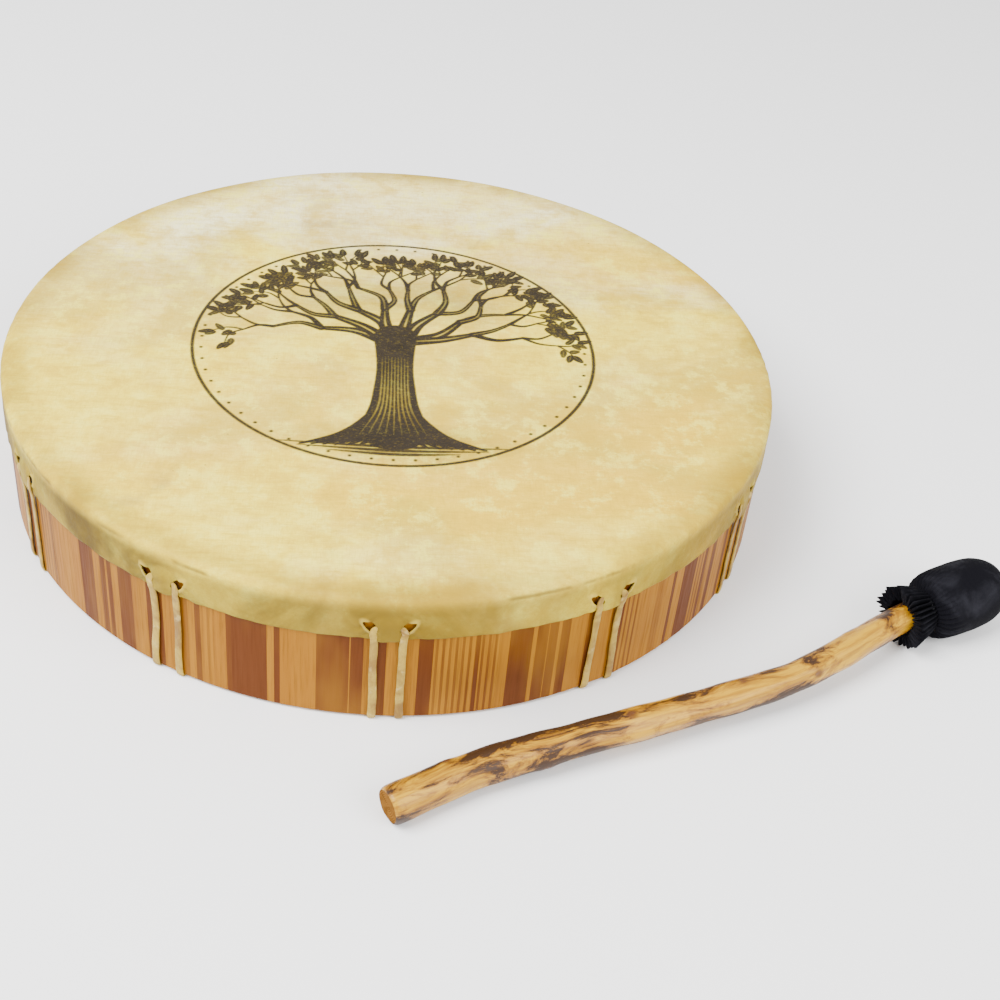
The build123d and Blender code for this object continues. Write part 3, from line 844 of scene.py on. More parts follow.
def draw_limb(sheet, x, y, turn, wide, span, dice, depth=0):
    """Limb that forks twice and ends in leafy twigs."""
    bend = dice.uniform(-0.45, 0.45)
    middle = (x + span * 0.5 * cos(turn + bend), y + span * 0.5 * sin(turn + bend))
    end = (x + span * cos(turn), y + span * sin(turn))
    sheet.stroke([(x, y), middle, end], [wide, wide * 0.70, wide * 0.46], 0.95)
    if wide > 4.5:
        sheet.stroke([(x, y), middle, end], [wide * 0.08, wide * 0.12, 0.1], 0.4, 0.5, wipe=True)
    room = 100 - hypot(*end)
    if depth == 2 or room < 12:
        for fork in (-0.45, 0.35):
            draw_twig(sheet, *end, turn + fork, np.clip(room, 6, 17), dice)
        return
    for fork in (-1, 1):
        ahead = turn + fork * dice.uniform(0.24, 0.46)
        draw_limb(sheet, *end, ahead, wide * (0.56 if fork > 0 else 0.50), span * dice.uniform(0.62, 0.80),
                  dice, depth + 1)


def draw_crown(sheet):
    """Eight limbs spread evenly from the top of the trunk."""
    dice = np.random.default_rng(12)
    for degrees_, wide, span in ((164, 8.5, 34), (142, 9.5, 35), (121, 10.0, 34), (100, 9.5, 32),
                                 (80, 9.5, 32), (59, 10.0, 34), (38, 9.5, 35), (16, 8.5, 34)):
        draw_limb(sheet, 1 + 8 * cos(radians(degrees_)), 4, radians(degrees_), wide, span, dice)


def draw_border(sheet):
    """Plain border: one brushed ring with evenly spaced dots inside it."""
    turns = np.arange(0, 361, 6)
    sheet.stroke([on_ring(BORDER, t) for t in turns], np.full(len(turns), 1.8), 0.88)
    for degrees_ in np.arange(0, 360, 6):
        sheet.dab(*on_ring(BORDER_DOTS, degrees_), 0.9, 0.85)


def paint_drawing():
    """Ink as a thin film on the skin: only the inked cells get faces, and each point its strength."""
    sizes = settings("drum_sizes")
    reach = sizes.art_radius / MM + 2
    sheet = Drawing(reach, sizes.art_cell / MM)
    for cloud in ((-40, 40, 26, 20, 0.14), (42, 40, 24, 18, 0.16), (0, 50, 46, 26, 0.16),
                  (0, -86, 52, 14, 0.22)):
        sheet.wash(*cloud)
    draw_ground(sheet)
    draw_crown(sheet)
    draw_trunk(sheet)
    draw_border(sheet)
    ink = np.clip(sheet.ink, 0, 0.97)
    ink[ink < FAINTEST] = 0
    x, y = np.meshgrid(sheet.line * MM, sheet.line * MM)
    rise = HEAD_TOP + head_relief(x, y) + INK_RISE
    points = np.stack([x, y, rise], -1).reshape(-1, 3)
    strongest = np.maximum.reduce([ink[:-1, :-1], ink[1:, :-1], ink[:-1, 1:], ink[1:, 1:]])
    row, column = np.nonzero(strongest > 0)
    here = row * sheet.count + column
    faces = np.stack([here, here + 1, here + sheet.count + 1, here + sheet.count], -1)
    used, compact = np.unique(faces, return_inverse=True)
    film = make_piece("ink_drawing", points[used], compact.reshape(-1, 4), ink_material(), "drum")
    mark = film.data.attributes.new("ink", "FLOAT", "POINT")
    mark.data.foreach_set("value", ink.reshape(-1)[used].astype(np.float32))


# ---- lacing -----------------------------------------------------------------------------------------

# Lace strands inside the arms of the hand cross (mm): where an arm's mouth is, the strand's width and
# thickness, the spacing of strands, and the height of each arm's strands.
MOUTH, STRAND_WIDE, STRAND_THICK, LANE = 79, 3.4, 1.5, 1.6
STRAND_LEVEL = {"side": 12.9, "front": 9.1}


def lace_half(pair_angle, side, arm_angle, lateral, level, dice):
    """Rows of (place, normal, width, thickness) from behind the tongue to the mouth of the arm."""
    lean = dice.uniform(-1.0, 1.0, 3) * 0.5
    wide, thick = settings("drum_sizes").lace_wide / MM, settings("drum_sizes").lace_thick / MM
    radial = np.array([cos(pair_angle), sin(pair_angle), 0])
    tangent = np.array([-sin(pair_angle), cos(pair_angle), 0])
    up, down = UP, -UP
    reach = HOOP_RADIUS / MM
    rows = []

    def put(out, across, height, normal, w=wide, t=thick):
        place = radial * out + tangent * across * side + up * height
        rows.append(np.concatenate([place, normal, [w, t]]))

    put(reach + 0.80, 0.0, 55.8, radial)
    put(reach + 0.95, 3.2, 56.0, radial)
    put(reach + 1.65, 5.6, 56.6, unit(radial + 0.25 * tangent * side), wide * 0.95, thick * 0.9)
    put(reach + 2.10, 7.0, 55.0, unit(radial - 0.3 * up), wide * 0.9, thick * 0.9)
    put(reach + 1.95, 6.6 + 0.3 * lean[0], 51.6, unit(radial - 0.15 * up), wide * 0.9)
    put(reach + 1.15, 6.2 + 0.6 * lean[1], 46.0, radial, wide * 1.02)
    put(reach + 0.85, 6.1 + 1.2 * lean[1], 30.0, unit(radial + 0.16 * tangent * lean[2]), wide * 0.98)
    put(reach + 0.80, 6.3 + 1.6 * lean[2], 14.0, unit(radial - 0.14 * tangent * lean[0]), wide * 1.04)
    put(reach + 0.75, 6.5 + 1.8 * lean[2], 3.2, radial, wide * 1.08)
    put(reach - 0.2, 6.6 + 1.8 * lean[2], 0.72, unit(radial + down), wide, thick * 0.9)
    put(reach - 3.5, 6.8 + 1.6 * lean[2], 0.62, down, wide, thick * 0.95)
    put(reach - 7.2, 7.0 + 1.2 * lean[2], 0.66, down, wide, thick * 0.95)
    arm = np.array([cos(arm_angle), sin(arm_angle), 0])
    arm_side = np.array([-sin(arm_angle), cos(arm_angle), 0])
    mouth = arm * MOUTH + arm_side * lateral + up * level
    start = rows[-1][:3]
    for share in (0.12, 0.35, 0.6, 0.82, 1.0):
        place = start + (mouth - start) * share
        turn = smooth(0.05, 1.0, share) * pi / 2
        normal = down * cos(turn) + arm_side * side * sin(turn)
        w = wide + (STRAND_WIDE - wide) * share
        t = thick + (STRAND_THICK - thick) * share
        rows.append(np.concatenate([place, normal, [w, t]]))
    for along in (60, 40, 20):
        place = arm * along + arm_side * lateral + up * level
        rows.append(np.concatenate([place, arm_side * side, [STRAND_WIDE, STRAND_THICK]]))
    return rows


def lace_loop(arm_angle, level, offset, seed):
    """Closed lace through two facing pairs of holes and both arms between them."""
    dice = np.random.default_rng(seed)
    lane = offset / PAIR_STEP * 2
    near, far = arm_angle + offset, arm_angle + pi - offset
    rows = []
    for first, second, here, there, row in ((near, far, arm_angle, arm_angle + pi, lane),
                                            (far, near, arm_angle + pi, arm_angle, -lane)):
        out = lace_half(first, 1, here, (row + 0.5) * LANE, level, dice)
        back = lace_half(second, -1, there, (-row - 0.5) * LANE, level, dice)[::-1]
        rows += out + back[:-1]
    return rows


def lace_up():
    """The six loops of lace that hold the head and make the hand cross."""
    material = lace_material("rawhide lace", 1.0)
    for arm_angle, name in ((0.0, "side"), (pi / 2, "front")):
        for order, place in enumerate("abc"):
            node_name = f"lacing_loop_{name}_{place}"
            seed = 40 + order + 10 * (name == "side")
            rows = lace_loop(arm_angle, STRAND_LEVEL[name], (order - 1) * PAIR_STEP, seed)
            line = curve_through(rows, 7, closed=True)
            path, normals = line[:, :3] * MM, unit(line[:, 3:6])
            turn = np.linspace(0, tau, len(line), endpoint=False)
            wide = line[:, 6] * MM * (1 + 0.045 * np.clip(ripple(turn, order + 3, 20, 90), -1.6, 1.6))
            points, faces = sweep_lace(path, normals, wide, line[:, 7] * MM)
            points[:, 2] = np.maximum(points[:, 2], 0.02 * MM)
            piece = make_piece(f"{node_name}_lace", points, faces, material, "drum",
                               [node_name])
            face_outwards(piece)


# ---- hand cross -------------------------------------------------------------------------------------

def winding_tree(material):
    """Geometry nodes: one lace wound round an oval arm, with a little unevenness."""
    tree = bpy.data.node_groups.new("Lace winding", "GeometryNodeTree")
    sockets = {}
    for label, kind, default in (("Turns", "Float", 15.0), ("Length", "Float", 0.0595),
                                 ("Oval width", "Float", 0.0156), ("Oval height", "Float", 0.0126),
                                 ("Lace width", "Float", 0.0037), ("Lace thickness", "Float", 0.0012),
                                 ("Unevenness", "Float", 0.0003), ("Seed", "Float", 0.0)):
        socket = tree.interface.new_socket(label, in_out="INPUT", socket_type=f"NodeSocket{kind}")
        socket.default_value = default
        sockets[label] = socket.identifier
    tree.interface.new_socket("Geometry", in_out="OUTPUT", socket_type="NodeSocketGeometry")
    start, end = tree.nodes.new("NodeGroupInput"), tree.nodes.new("NodeGroupOutput")

    def put(kind, inputs=(), **settings_):
        made = tree.nodes.new(kind)
        for key, value in settings_.items():
            setattr(made, key, value)
        for key, value in dict(inputs).items():
            if isinstance(value, bpy.types.NodeSocket):
                tree.links.new(value, made.inputs[key])
            else:
                made.inputs[key].default_value = value
        return made

    given = start.outputs
    coil = put("GeometryNodeCurveSpiral", {
        "Resolution": 40, "Rotations": given["Turns"], "Start Radius": 0.5, "End Radius": 0.5,
        "Height": given["Length"]})
    size = put("ShaderNodeCombineXYZ", {"X": given["Oval height"], "Y": given["Oval width"], "Z": 1.0})
    oval = put("GeometryNodeTransform", {"Geometry": coil.outputs[0], "Scale": size.outputs[0]})
    level = put("GeometryNodeSetCurveNormal", {"Curve": oval.outputs[0]}, mode="Z_UP")
    flat = put("GeometryNodeCurvePrimitiveQuadrilateral", {
        "Width": given["Lace thickness"], "Height": given["Lace width"]})
    edge = put("GeometryNodeFilletCurve", {"Curve": flat.outputs[0], "Radius": 0.00035, "Count": 2},
               mode="POLY")
    mesh = put("GeometryNodeCurveToMesh", {
        "Curve": level.outputs[0], "Profile Curve": edge.outputs[0], "Fill Caps": True})
    drift = put("ShaderNodeTexNoise", {"Scale": 190.0, "W": given["Seed"]}, noise_dimensions="4D")
    centred = put("ShaderNodeVectorMath", {0: drift.outputs["Color"], 1: (0.5, 0.5, 0.5)},
                  operation="SUBTRACT")
    amount = put("ShaderNodeVectorMath", {0: centred.outputs[0], "Scale": given["Unevenness"]},
                 operation="SCALE")
    rough = put("GeometryNodeSetPosition", {"Geometry": mesh.outputs[0], "Offset": amount.outputs[0]})
    laid = put("GeometryNodeTransform", {"Geometry": rough.outputs[0], "Rotation": (0, pi / 2, 0)})
    real = put("GeometryNodeRealizeInstances", {"Geometry": laid.outputs[0]})
    dressed = put("GeometryNodeSetMaterial", {"Geometry": real.outputs[0], "Material": material})
    tree.links.new(dressed.outputs[0], end.inputs[0])
    return tree, sockets


def run_tree(name, tree, values, place):
    """Plain mesh from a node tree, moved to its place."""
    holder = bpy.data.objects.new(name, bpy.data.meshes.new(name))
    bpy.context.scene.collection.objects.link(holder)
    modifier = holder.modifiers.new("build", "NODES")
    modifier.node_group = tree
    for identifier, value in values.items():
        modifier[identifier] = value
    holder.update_tag()
    ready = holder.evaluated_get(bpy.context.evaluated_depsgraph_get())
    mesh = bpy.data.meshes.new_from_object(ready)
    holder.modifiers.remove(modifier)
    holder.data = mesh
    mesh.transform(place)
    mesh.shade_smooth()
    return holder


def wind_arms(material):
    """Lace wound round the strands of each arm."""
    tree, sockets = winding_tree(material)
    sizes = settings("drum_sizes")
    for number, name in enumerate(ARMS):
        low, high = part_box(f"arm_wrap_{name}")
        middle = (low + high) / 2
        turn = number * pi / 2
        values = {sockets["Turns"]: float(sizes.winding_turns), sockets["Length"]: 55.6 * MM,
                  sockets["Seed"]: float(number)}
        place = Matrix.Translation((18.4 * MM * cos(turn), 18.4 * MM * sin(turn), middle.z))
        piece = run_tree(f"arm_winding_{name}", tree, values, place @ Matrix.Rotation(turn, 4, "Z"))
        adopt(piece, "drum", [f"arm_wrap_{name}"])


def lash_middle(material):
    """Turns of lace laid crosswise over the crossing of the arms."""
    low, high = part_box("middle_lashing")
    middle = (low.z + high.z) / 2
    points, faces = [], []
    turn_steps = np.linspace(0, tau, 72, endpoint=False)
    for layer, diagonal in ((0, pi / 4), (1, -pi / 4)):
        ahead = np.array([cos(diagonal), sin(diagonal), 0])
        aside = np.array([-sin(diagonal), cos(diagonal), 0])
        for n in range(4):
            offset = (n - 1.5) * 3.75 * MM
            reach = (9.2 + 0.9 * layer) * MM + 0.5 * abs(offset)
            rise = (high.z - low.z) / 2 - (1.95 - 1.25 * layer) * MM
            square = 0.72
            across = np.sign(np.cos(turn_steps)) * np.abs(np.cos(turn_steps)) ** square
            upward = np.sign(np.sin(turn_steps)) * np.abs(np.sin(turn_steps)) ** square
            sway = 0.25 * MM * np.sin(turn_steps + n)
            path = (ahead * (reach * across)[:, None] + aside * (offset + sway)[:, None]
                    + UP * (middle + rise * upward)[:, None])
            normals = unit(ahead * across[:, None] + UP * upward[:, None])
            wide = np.full(72, 3.7 * MM)
            made, quads = sweep_lace(path, normals, wide, np.full(72, 1.15 * MM))
            faces += [[v + sum(map(len, points)) for v in quad] for quad in quads]
            points.append(made)
    for turn in range(4):
        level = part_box(f"arm_wrap_{ARMS[turn]}")
        height = (level[0].z + level[1].z) / 2
        ahead = np.array([cos(turn * pi / 2), sin(turn * pi / 2), 0])
        aside = np.array([-ahead[1], ahead[0], 0])
        for n in range(2):
            path = (ahead * (10.8 + 3.2 * n) * MM + aside * (7.0 * MM * np.cos(turn_steps))[:, None]
                    + UP * (height + 4.4 * MM * np.sin(turn_steps))[:, None])
            normals = unit(aside * np.cos(turn_steps)[:, None] + UP * np.sin(turn_steps)[:, None])
            made, quads = sweep_lace(path, normals, np.full(72, 3.3 * MM), np.full(72, 1.1 * MM))
            faces += [[v + sum(map(len, points)) for v in quad] for quad in quads]
            points.append(made)
    piece = make_piece("middle_lashing_lace", np.vstack(points), faces, material, "drum",
                       ["middle_lashing"])
    face_outwards(piece)


# ---- beater -----------------------------------------------------------------------------------------

# Centreline of the branch from the butt, along it and sideways, and its thickness (mm).
BRANCH = [(0, 0, 17.6), (45, 2.2, 17.2), (94, -2, 16.8), (143, -7, 16.2), (197, -11, 15.6),
          (230, -8.5, 15.2), (257, -4, 15.0), (276, -1, 14.8), (293, 0, 14.2)]
# Round tenon inside the padded head: diameter and length (mm).
TENON = (12.4, 34.8)
# Knots where twigs were cut: distance along, side in degrees, height (mm).
KNOTS = [(31, 60, 1.1), (74, 205, 1.0), (118, 95, 1.4), (150, 330, 0.9), (176, 80, 1.2), (214, 150, 1.3),
         (246, 40, 0.9), (262, 250, 0.8)]
# Outline of the padded head: distance beyond the tie and radius (mm).
COVER = [(-0.4, 9.2), (0.8, 12.0), (3.2, 15.2), (8.5, 17.2), (17, 17.9), (27, 17.9), (36, 16.7), (43.4, 13.2),
         (47.8, 7.4), (49.6, 0.02)]
# Length that the weave of the frill is laid out to round the stick (m).
FRILL_WEAVE = 0.19
BEATER_AT = (1.7, -258.0, 8.9)
BEATER_TURN, BEATER_TILT = radians(25.7), radians(1.49)


def beater_place(points):
    """Moves points from the beater's own axes, in mm, to the table, in metres."""
    turn = Matrix.Rotation(BEATER_TURN, 3, "Z") @ Matrix.Rotation(-BEATER_TILT, 3, "Y")
    return (np.asarray(points) @ np.array(turn).T + np.array(BEATER_AT)) * MM


def whittle_branch():
    """Branch with knots and a slightly uneven section, cut square at the butt."""
    rows = curve_through(BRANCH, 40)
    along = np.linspace(0, len(rows) - 1, 460)
    rows = np.column_stack([np.interp(along, np.arange(len(rows)), rows[:, k]) for k in range(3)])
    around = 72
    turns = np.linspace(0, tau, around, endpoint=False)
    travel = rows[:, 0]
    radius = np.repeat(rows[:, 2:3] / 2, around, 1) - 0.25
    knots = np.zeros_like(radius)
    for at, side, height in KNOTS:
        far = np.hypot((travel[:, None] - at) / 4.2,
                       np.angle(np.exp(1j * (turns[None] - radians(side)))) * 7.5 / 3.4)
        radius += height * 0.55 * np.exp(-far ** 2) - height * 0.35 * np.exp(-(far / 0.35) ** 2)
        knots = np.maximum(knots, np.exp(-(far / 0.62) ** 4) * 0.9)
    for n in range(5):
        radius += 0.10 * np.cos((n + 2) * turns[None] + 0.011 * (n + 1) * travel[:, None] + n * 1.7)
    radius += 0.16 * np.sin(travel / 9.0 + 0.6)[:, None] + 0.12 * np.sin(travel / 3.7)[:, None]
    radius -= 1.1 * np.exp(-travel / 0.9)[:, None]
    tenon = np.array([[at, 0, TENON[0]] for at in np.linspace(travel[-1] + 0.1, travel[-1] + TENON[1], 8)])
    rows = np.vstack([rows, tenon])
    radius = np.vstack([radius, np.full((8, around), TENON[0] / 2)])
    knots = np.vstack([knots, np.zeros((8, around))])
    travel = rows[:, 0]
    ahead = unit(np.gradient(rows[:, :2], axis=0))
    side_way = np.stack([-ahead[:, 1], ahead[:, 0], np.zeros(len(rows))], -1)
    centre = np.column_stack([rows[:, :2], np.zeros(len(rows))])
    points = (centre[:, None] + side_way[:, None] * (radius * np.cos(turns))[..., None]
              + UP * (radius * np.sin(turns))[..., None])
    local = np.stack([np.repeat(travel[:, None], around, 1),
                      radius * np.cos(turns), radius * np.sin(turns)], -1)
    inner = 4
    butt_rings, butt_local = [], []
    for n in range(inner, 0, -1):
        share = n / (inner + 1)
        ring = centre[0] + (points[0] - centre[0]) * share
        ring[:, 0] += 0.25 * (1 - share)
        butt_rings.append(ring)
        butt_local.append(local[0] * share)
    tip_ring = points[-1:]
    grid = np.concatenate([np.array(butt_rings)[::-1], points, tip_ring])
    places = np.concatenate([np.array(butt_local)[::-1], local, local[-1:]])
    flat = np.vstack([grid.reshape(-1, 3), [centre[0] + (0.25, 0, 0)], [centre[-1]]])
    faces = band_faces(len(grid) - 1, around).tolist()
    last = (len(grid) - 2) * around
    faces += fan(len(flat) - 2, np.arange(around))
    faces += fan(len(flat) - 1, last + np.arange(around), flip=True)
    keep = np.vstack([places.reshape(-1, 3), [[0, 0, 0]], [[rows[-1, 0], 0, 0]]])
    knot_mark = np.concatenate([np.zeros(inner * around), knots.reshape(-1), np.zeros(around + 2)])
    piece = make_piece("branch_handle", beater_place(flat), faces, branch_material(), "beater",
                       ["beater_stick"])
    piece.data.materials.append(end_grain_material())
    sawn = set(range(inner * around)) | {len(flat) - 2}
    for polygon in piece.data.polygons:
        polygon.material_index = int(any(v in sawn for v in polygon.vertices))
    mark = piece.data.attributes.new("knot", "FLOAT", "POINT")
    mark.data.foreach_set("value", knot_mark.astype(np.float32))
    mark = piece.data.attributes.new("branch_at", "FLOAT_VECTOR", "POINT")
    mark.data.foreach_set("vector", (keep * MM).astype(np.float32).reshape(-1))
    face_outwards(piece)


def from_neck(along, radius, turns):
    """Points about the head's axis: rows of distance beyond the tie and radius."""
    reach = settings("beater_sizes").reach / MM
    return np.stack([reach + along, radius * np.cos(turns), radius * np.sin(turns)], -1)


def lay_cloth_map(piece, rows, around, long_, wide):
    """UV map in metres of cloth, so that threads are all one size."""
    layer = piece.data.uv_layers.new(name="cloth")
    index = np.empty(len(piece.data.loops), int)
    piece.data.loops.foreach_get("vertex_index", index)
    column, row = index % around, np.minimum(index // around, rows - 1)
    starts = np.empty(len(piece.data.polygons), int)
    piece.data.polygons.foreach_get("loop_start", starts)
    totals = np.empty(len(piece.data.polygons), int)
    piece.data.polygons.foreach_get("loop_total", totals)
    wrap = (column == 0) & (np.maximum.reduceat(column, starts).repeat(totals) == around - 1)
    column = np.where(wrap, around, column)
    uv = np.stack([column / around * wide, row / rows * long_], -1)
    layer.data.foreach_set("uv", uv.astype(np.float32).reshape(-1))


def pad_head():
    """Cloth bag drawn over the wadding: tight at the tip, pleated towards the tie."""
    sizes = settings("beater_sizes")
    around, rows = 204, 110
    outline = curve_through(COVER, 30)
    spans = np.concatenate([[0], np.cumsum(np.hypot(*np.diff(outline, axis=0).T))])
    even = np.linspace(0, spans[-1], rows)
    along = np.interp(even, spans, outline[:, 0])[:, None]
    radius = np.interp(even, spans, outline[:, 1])[:, None]
    turns = np.linspace(0, tau, around, endpoint=False)[None]
    swirl = turns + 0.010 * along
    wave = np.cos(sizes.pleats * swirl + 1.4 * ripple(turns, 9, 1, 5))
    sharp = 1 - np.abs(wave) ** 0.7
    near = np.exp(-(np.maximum(along, 0) / 7.0) ** 1.6)
    folds = 0.16 * near * (sharp - 0.35)
    ridges = 1 - np.abs(np.cos(4.5 * swirl + 0.8)) ** 0.6 - 0.3
    long_folds = 0.022 * np.exp(-((along - 12) / 9) ** 2) * ridges
    sag = 0.008 * ripple(turns + 0.03 * along, 14, 2, 5) * smooth(50, 36, along)
    reach = radius * (1 - np.maximum(folds, -0.04) - np.maximum(long_folds, 0) - np.abs(sag))
    points = from_neck(along + 0 * turns, reach, turns)
    neck = from_neck(np.full((1, around), -0.9), np.full((1, around), 7.2), turns)
    grid = np.concatenate([neck, points])
    tie = sizes.reach / MM
    flat = np.vstack([grid.reshape(-1, 3), [[tie - 0.9, 0, 0]], [[tie + sizes.tip / MM, 0, 0]]])
    faces = band_faces(len(grid), around).tolist()
    faces += fan(len(flat) - 2, np.arange(around))
    faces += fan(len(flat) - 1, (len(grid) - 1) * around + np.arange(around), flip=True)
    placed = beater_place(flat)
    placed[:, 2] = np.maximum(placed[:, 2], 0.1 * MM)
    piece = make_piece("padded_head", placed, faces, cloth_material("beater cloth", 1.0), "beater",
                       ["beater_cover"])
    lay_cloth_map(piece, len(grid), around, even[-1] * MM, tau * 16 * MM)
    face_outwards(piece)


def gather_frill():
    """Edge of the cloth beyond the tie, gathered into a ruffled collar over the stick."""
    sizes = settings("beater_sizes")
    around, rows = 680, 15
    turns = np.linspace(0, tau, around, endpoint=False)[None]
    share = np.linspace(0, 1, rows)[:, None]
    waves = np.sin(sizes.frill_pleats * turns + 0.9 * ripple(turns, 3, 1, 6))
    small = np.sin(11 * turns + 1.5 + ripple(turns, 6, 2, 7))
    wide = sizes.frill / MM
    lengths = wide * (0.92 + 0.06 * ripple(turns, 17, 2, 9))
    back = -0.3 - share * lengths
    radius = 9.8 + 2.6 * share ** 0.7 + (1.2 + 2.6 * share ** 0.8) * waves + 0.5 * share ** 2 * small
    radius = np.clip(radius, 8.3, 16.6)
    twist = 0.02 * np.cos(sizes.frill_pleats * turns) * share
    points = from_neck(back + 0.5 * share * np.cos(sizes.frill_pleats * turns + 0.6), radius, turns + twist)
    flat = points.reshape(-1, 3)
    faces = band_faces(rows, around)
    placed = beater_place(flat)
    placed[:, 2] = np.maximum(placed[:, 2], 0.4 * MM)
    # Painted shade: the frill is the same cloth as the head, its colour scaled to 0.75 to darken the gathers.
    piece = make_piece("neck_frill", placed, faces, cloth_material("frill cloth", 0.75), "beater")
    lay_cloth_map(piece, rows, around, wide * MM, FRILL_WEAVE)
    shell = piece.modifiers.new("cloth", "SOLIDIFY")
    shell.thickness = 0.5 * MM
    shell.offset = 0


def tie_neck():
    """Two turns of waxed cord round the gathers."""
    reach = settings("beater_sizes").reach / MM
    points, faces = [], []
    turns = np.linspace(0, tau, 96, endpoint=False)
    for shift in (-0.85, 0.85):
        for strand in range(2):
            phase = 26 * turns + strand * pi
            radius = 9.3 + 0.42 * np.cos(phase)
            path = np.stack([reach + shift + 0.42 * np.sin(phase),
                             radius * np.cos(turns), radius * np.sin(turns)], -1)
            normals = np.stack([0 * turns, np.cos(turns), np.sin(turns)], -1)
            made, quads = sweep_lace(path, normals, np.full(96, 0.9), np.full(96, 0.9))
            faces += [[v + sum(map(len, points)) for v in quad] for quad in quads]
            points.append(made)
    piece = make_piece("neck_tie_cord", beater_place(np.vstack(points)), faces,
                       stuffing_material("tie cord", (0.03, 0.03, 0.035), (0.008, 0.008, 0.01), 2400),
                       "beater", ["beater_neck_tie"])
    face_outwards(piece)


# ---- operators --------------------------------------------------------------------------------------

class DRUM_OT_hoop(Operator):
    """Give the plies of the hoop their wood"""
    bl_idname = "drum.finish_hoop"
    bl_label = "Finish hoop"

    def execute(self, context):
        veneer, core = veneer_material(), core_material()
        for name, material in (("hoop_outer_ply", veneer), ("hoop_inner_ply", veneer),
                               ("hoop_core_ply", core)):
            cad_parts[name].data.materials.clear()
            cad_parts[name].data.materials.append(material)
        return {"FINISHED"}


class DRUM_OT_head(Operator):
    """Stretch the rawhide head over the hoop"""
    bl_idname = "drum.stretch_head"
    bl_label = "Stretch head"

    def execute(self, context):
        stretch_head()
        return {"FINISHED"}


class DRUM_OT_drawing(Operator):
    """Paint the tree on the head"""
    bl_idname = "drum.paint_drawing"
    bl_label = "Paint drawing"

    def execute(self, context):
        paint_drawing()
        return {"FINISHED"}


class DRUM_OT_lacing(Operator):
    """Lace the head to the hand cross"""
    bl_idname = "drum.lace_up"
    bl_label = "Lace up"

    def execute(self, context):
        lace_up()
        return {"FINISHED"}


class DRUM_OT_grip(Operator):
    """Wind the arms of the hand cross and lash their crossing"""
    bl_idname = "drum.wind_grip"
    bl_label = "Wind hand cross"

    def execute(self, context):
        material = lace_material("wound lace", 0.85)
        wind_arms(material)
        lash_middle(material)
        return {"FINISHED"}


class DRUM_OT_branch(Operator):
    """Whittle the beater's branch"""
    bl_idname = "drum.whittle_branch"
    bl_label = "Whittle branch"

    def execute(self, context):
        whittle_branch()
        return {"FINISHED"}


class DRUM_OT_beater_head(Operator):
    """Pad, cover and tie the beater's head"""
    bl_idname = "drum.pad_beater_head"
    bl_label = "Pad beater head"

    def execute(self, context):
        for name, light, dark, scale in (("beater_felt_roll", (0.55, 0.52, 0.46), (0.22, 0.20, 0.18), 900),
                                         ("beater_wadding", (0.82, 0.80, 0.74), (0.55, 0.52, 0.46), 500)):
            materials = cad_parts[name].data.materials
            materials.clear()
            materials.append(stuffing_material(name.replace("_", " "), light, dark, scale))
        pad_head()
        gather_frill()
        tie_neck()
        return {"FINISHED"}


# Camera: where it stands (m), its turn, downward tilt and roll in degrees, and its lens (mm).
CAMERA_AT = (-0.01279, -0.69228, 0.52027)
CAMERA_TURN, CAMERA_DOWN, CAMERA_ROLL, CAMERA_LENS = -6.3215, 38.2117, 6.1477, 55.98


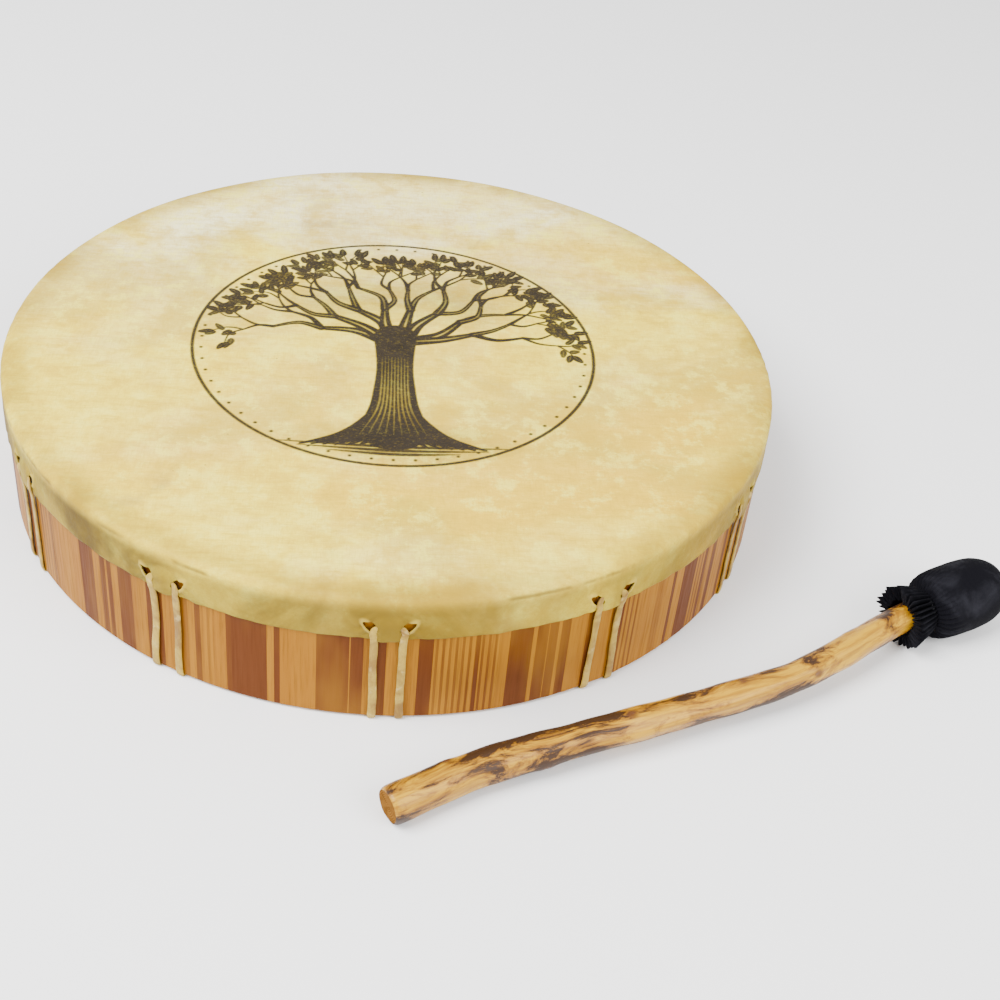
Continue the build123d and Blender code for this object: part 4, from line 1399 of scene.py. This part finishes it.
class DRUM_OT_stage(Operator):
    """Floor, soft studio light and camera"""
    bl_idname = "drum.set_stage"
    bl_label = "Set stage"

    def execute(self, context):
        scene = context.scene
        half = settings("stage_sizes").floor
        mesh = bpy.data.meshes.new("floor")
        mesh.from_pydata([(-half, -half, 0), (half, -half, 0), (half, half, 0), (-half, half, 0)], [],
                         [(0, 1, 2, 3)])
        mesh.materials.append(floor_material())
        floor = bpy.data.objects.new("floor", mesh)
        scene.collection.objects.link(floor)
        world = bpy.data.worlds.new("studio")
        world.use_nodes = True
        world.node_tree.nodes["Background"].inputs["Color"].default_value = (1, 1, 1, 1)
        world.node_tree.nodes["Background"].inputs["Strength"].default_value = 1.05
        scene.world = world
        for name, place, size, power in (("key light", (-1.0, -0.5, 1.6), 1.2, 92),
                                         ("fill light", (1.3, -1.2, 1.2), 1.4, 50)):
            lamp = bpy.data.lights.new(name, "AREA")
            lamp.size, lamp.energy = size, power
            holder = bpy.data.objects.new(name, lamp)
            holder.location = place
            holder.rotation_euler = (-Vector(place)).to_track_quat("-Z", "Y").to_euler()
            scene.collection.objects.link(holder)
        lens = bpy.data.cameras.new("camera")
        lens.lens, lens.sensor_width = CAMERA_LENS, 36
        camera = bpy.data.objects.new("camera", lens)
        turn, down, roll = (radians(a) for a in (CAMERA_TURN, CAMERA_DOWN, CAMERA_ROLL))
        camera.matrix_world = (Matrix.Translation(CAMERA_AT) @ Matrix.Rotation(turn, 4, "Z")
                               @ Matrix.Rotation(pi / 2 - down, 4, "X") @ Matrix.Rotation(roll, 4, "Z"))
        scene.collection.objects.link(camera)
        scene.camera = camera
        return {"FINISHED"}


STEPS = (DRUM_OT_stage, DRUM_OT_hoop, DRUM_OT_head, DRUM_OT_drawing, DRUM_OT_lacing, DRUM_OT_grip,
         DRUM_OT_branch, DRUM_OT_beater_head)


class DRUM_PT_panel(Panel):
    """Sidebar list of the drum's pieces and sizes"""
    bl_idname = "DRUM_PT_panel"
    bl_label = "Frame drum"
    bl_space_type = "VIEW_3D"
    bl_region_type = "UI"
    bl_category = "Drum"

    def draw(self, context):
        for step in STEPS:
            self.layout.operator(step.bl_idname)
        for name in GROUPS:
            box = self.layout.box()
            for label in GROUPS[name].__annotations__:
                box.prop(getattr(context.scene, name), label)


GROUPS = {"drum_sizes": DrumSizes, "drum_colours": DrumColours, "beater_sizes": BeaterSizes,
          "stage_sizes": StageSizes}
CLASSES = (*GROUPS.values(), *STEPS, DRUM_PT_panel)


def register():
    for made in CLASSES:
        bpy.utils.register_class(made)
    for name, made in GROUPS.items():
        setattr(bpy.types.Scene, name, PointerProperty(type=made))


def unregister():
    for name in GROUPS:
        delattr(bpy.types.Scene, name)
    for made in reversed(CLASSES):
        bpy.utils.unregister_class(made)


def main():
    """Builds the whole drum."""
    register()
    for step in STEPS:
        area, name = step.bl_idname.split(".")
        getattr(getattr(bpy.ops, area), name)()


if __name__ == "__main__":
    main()
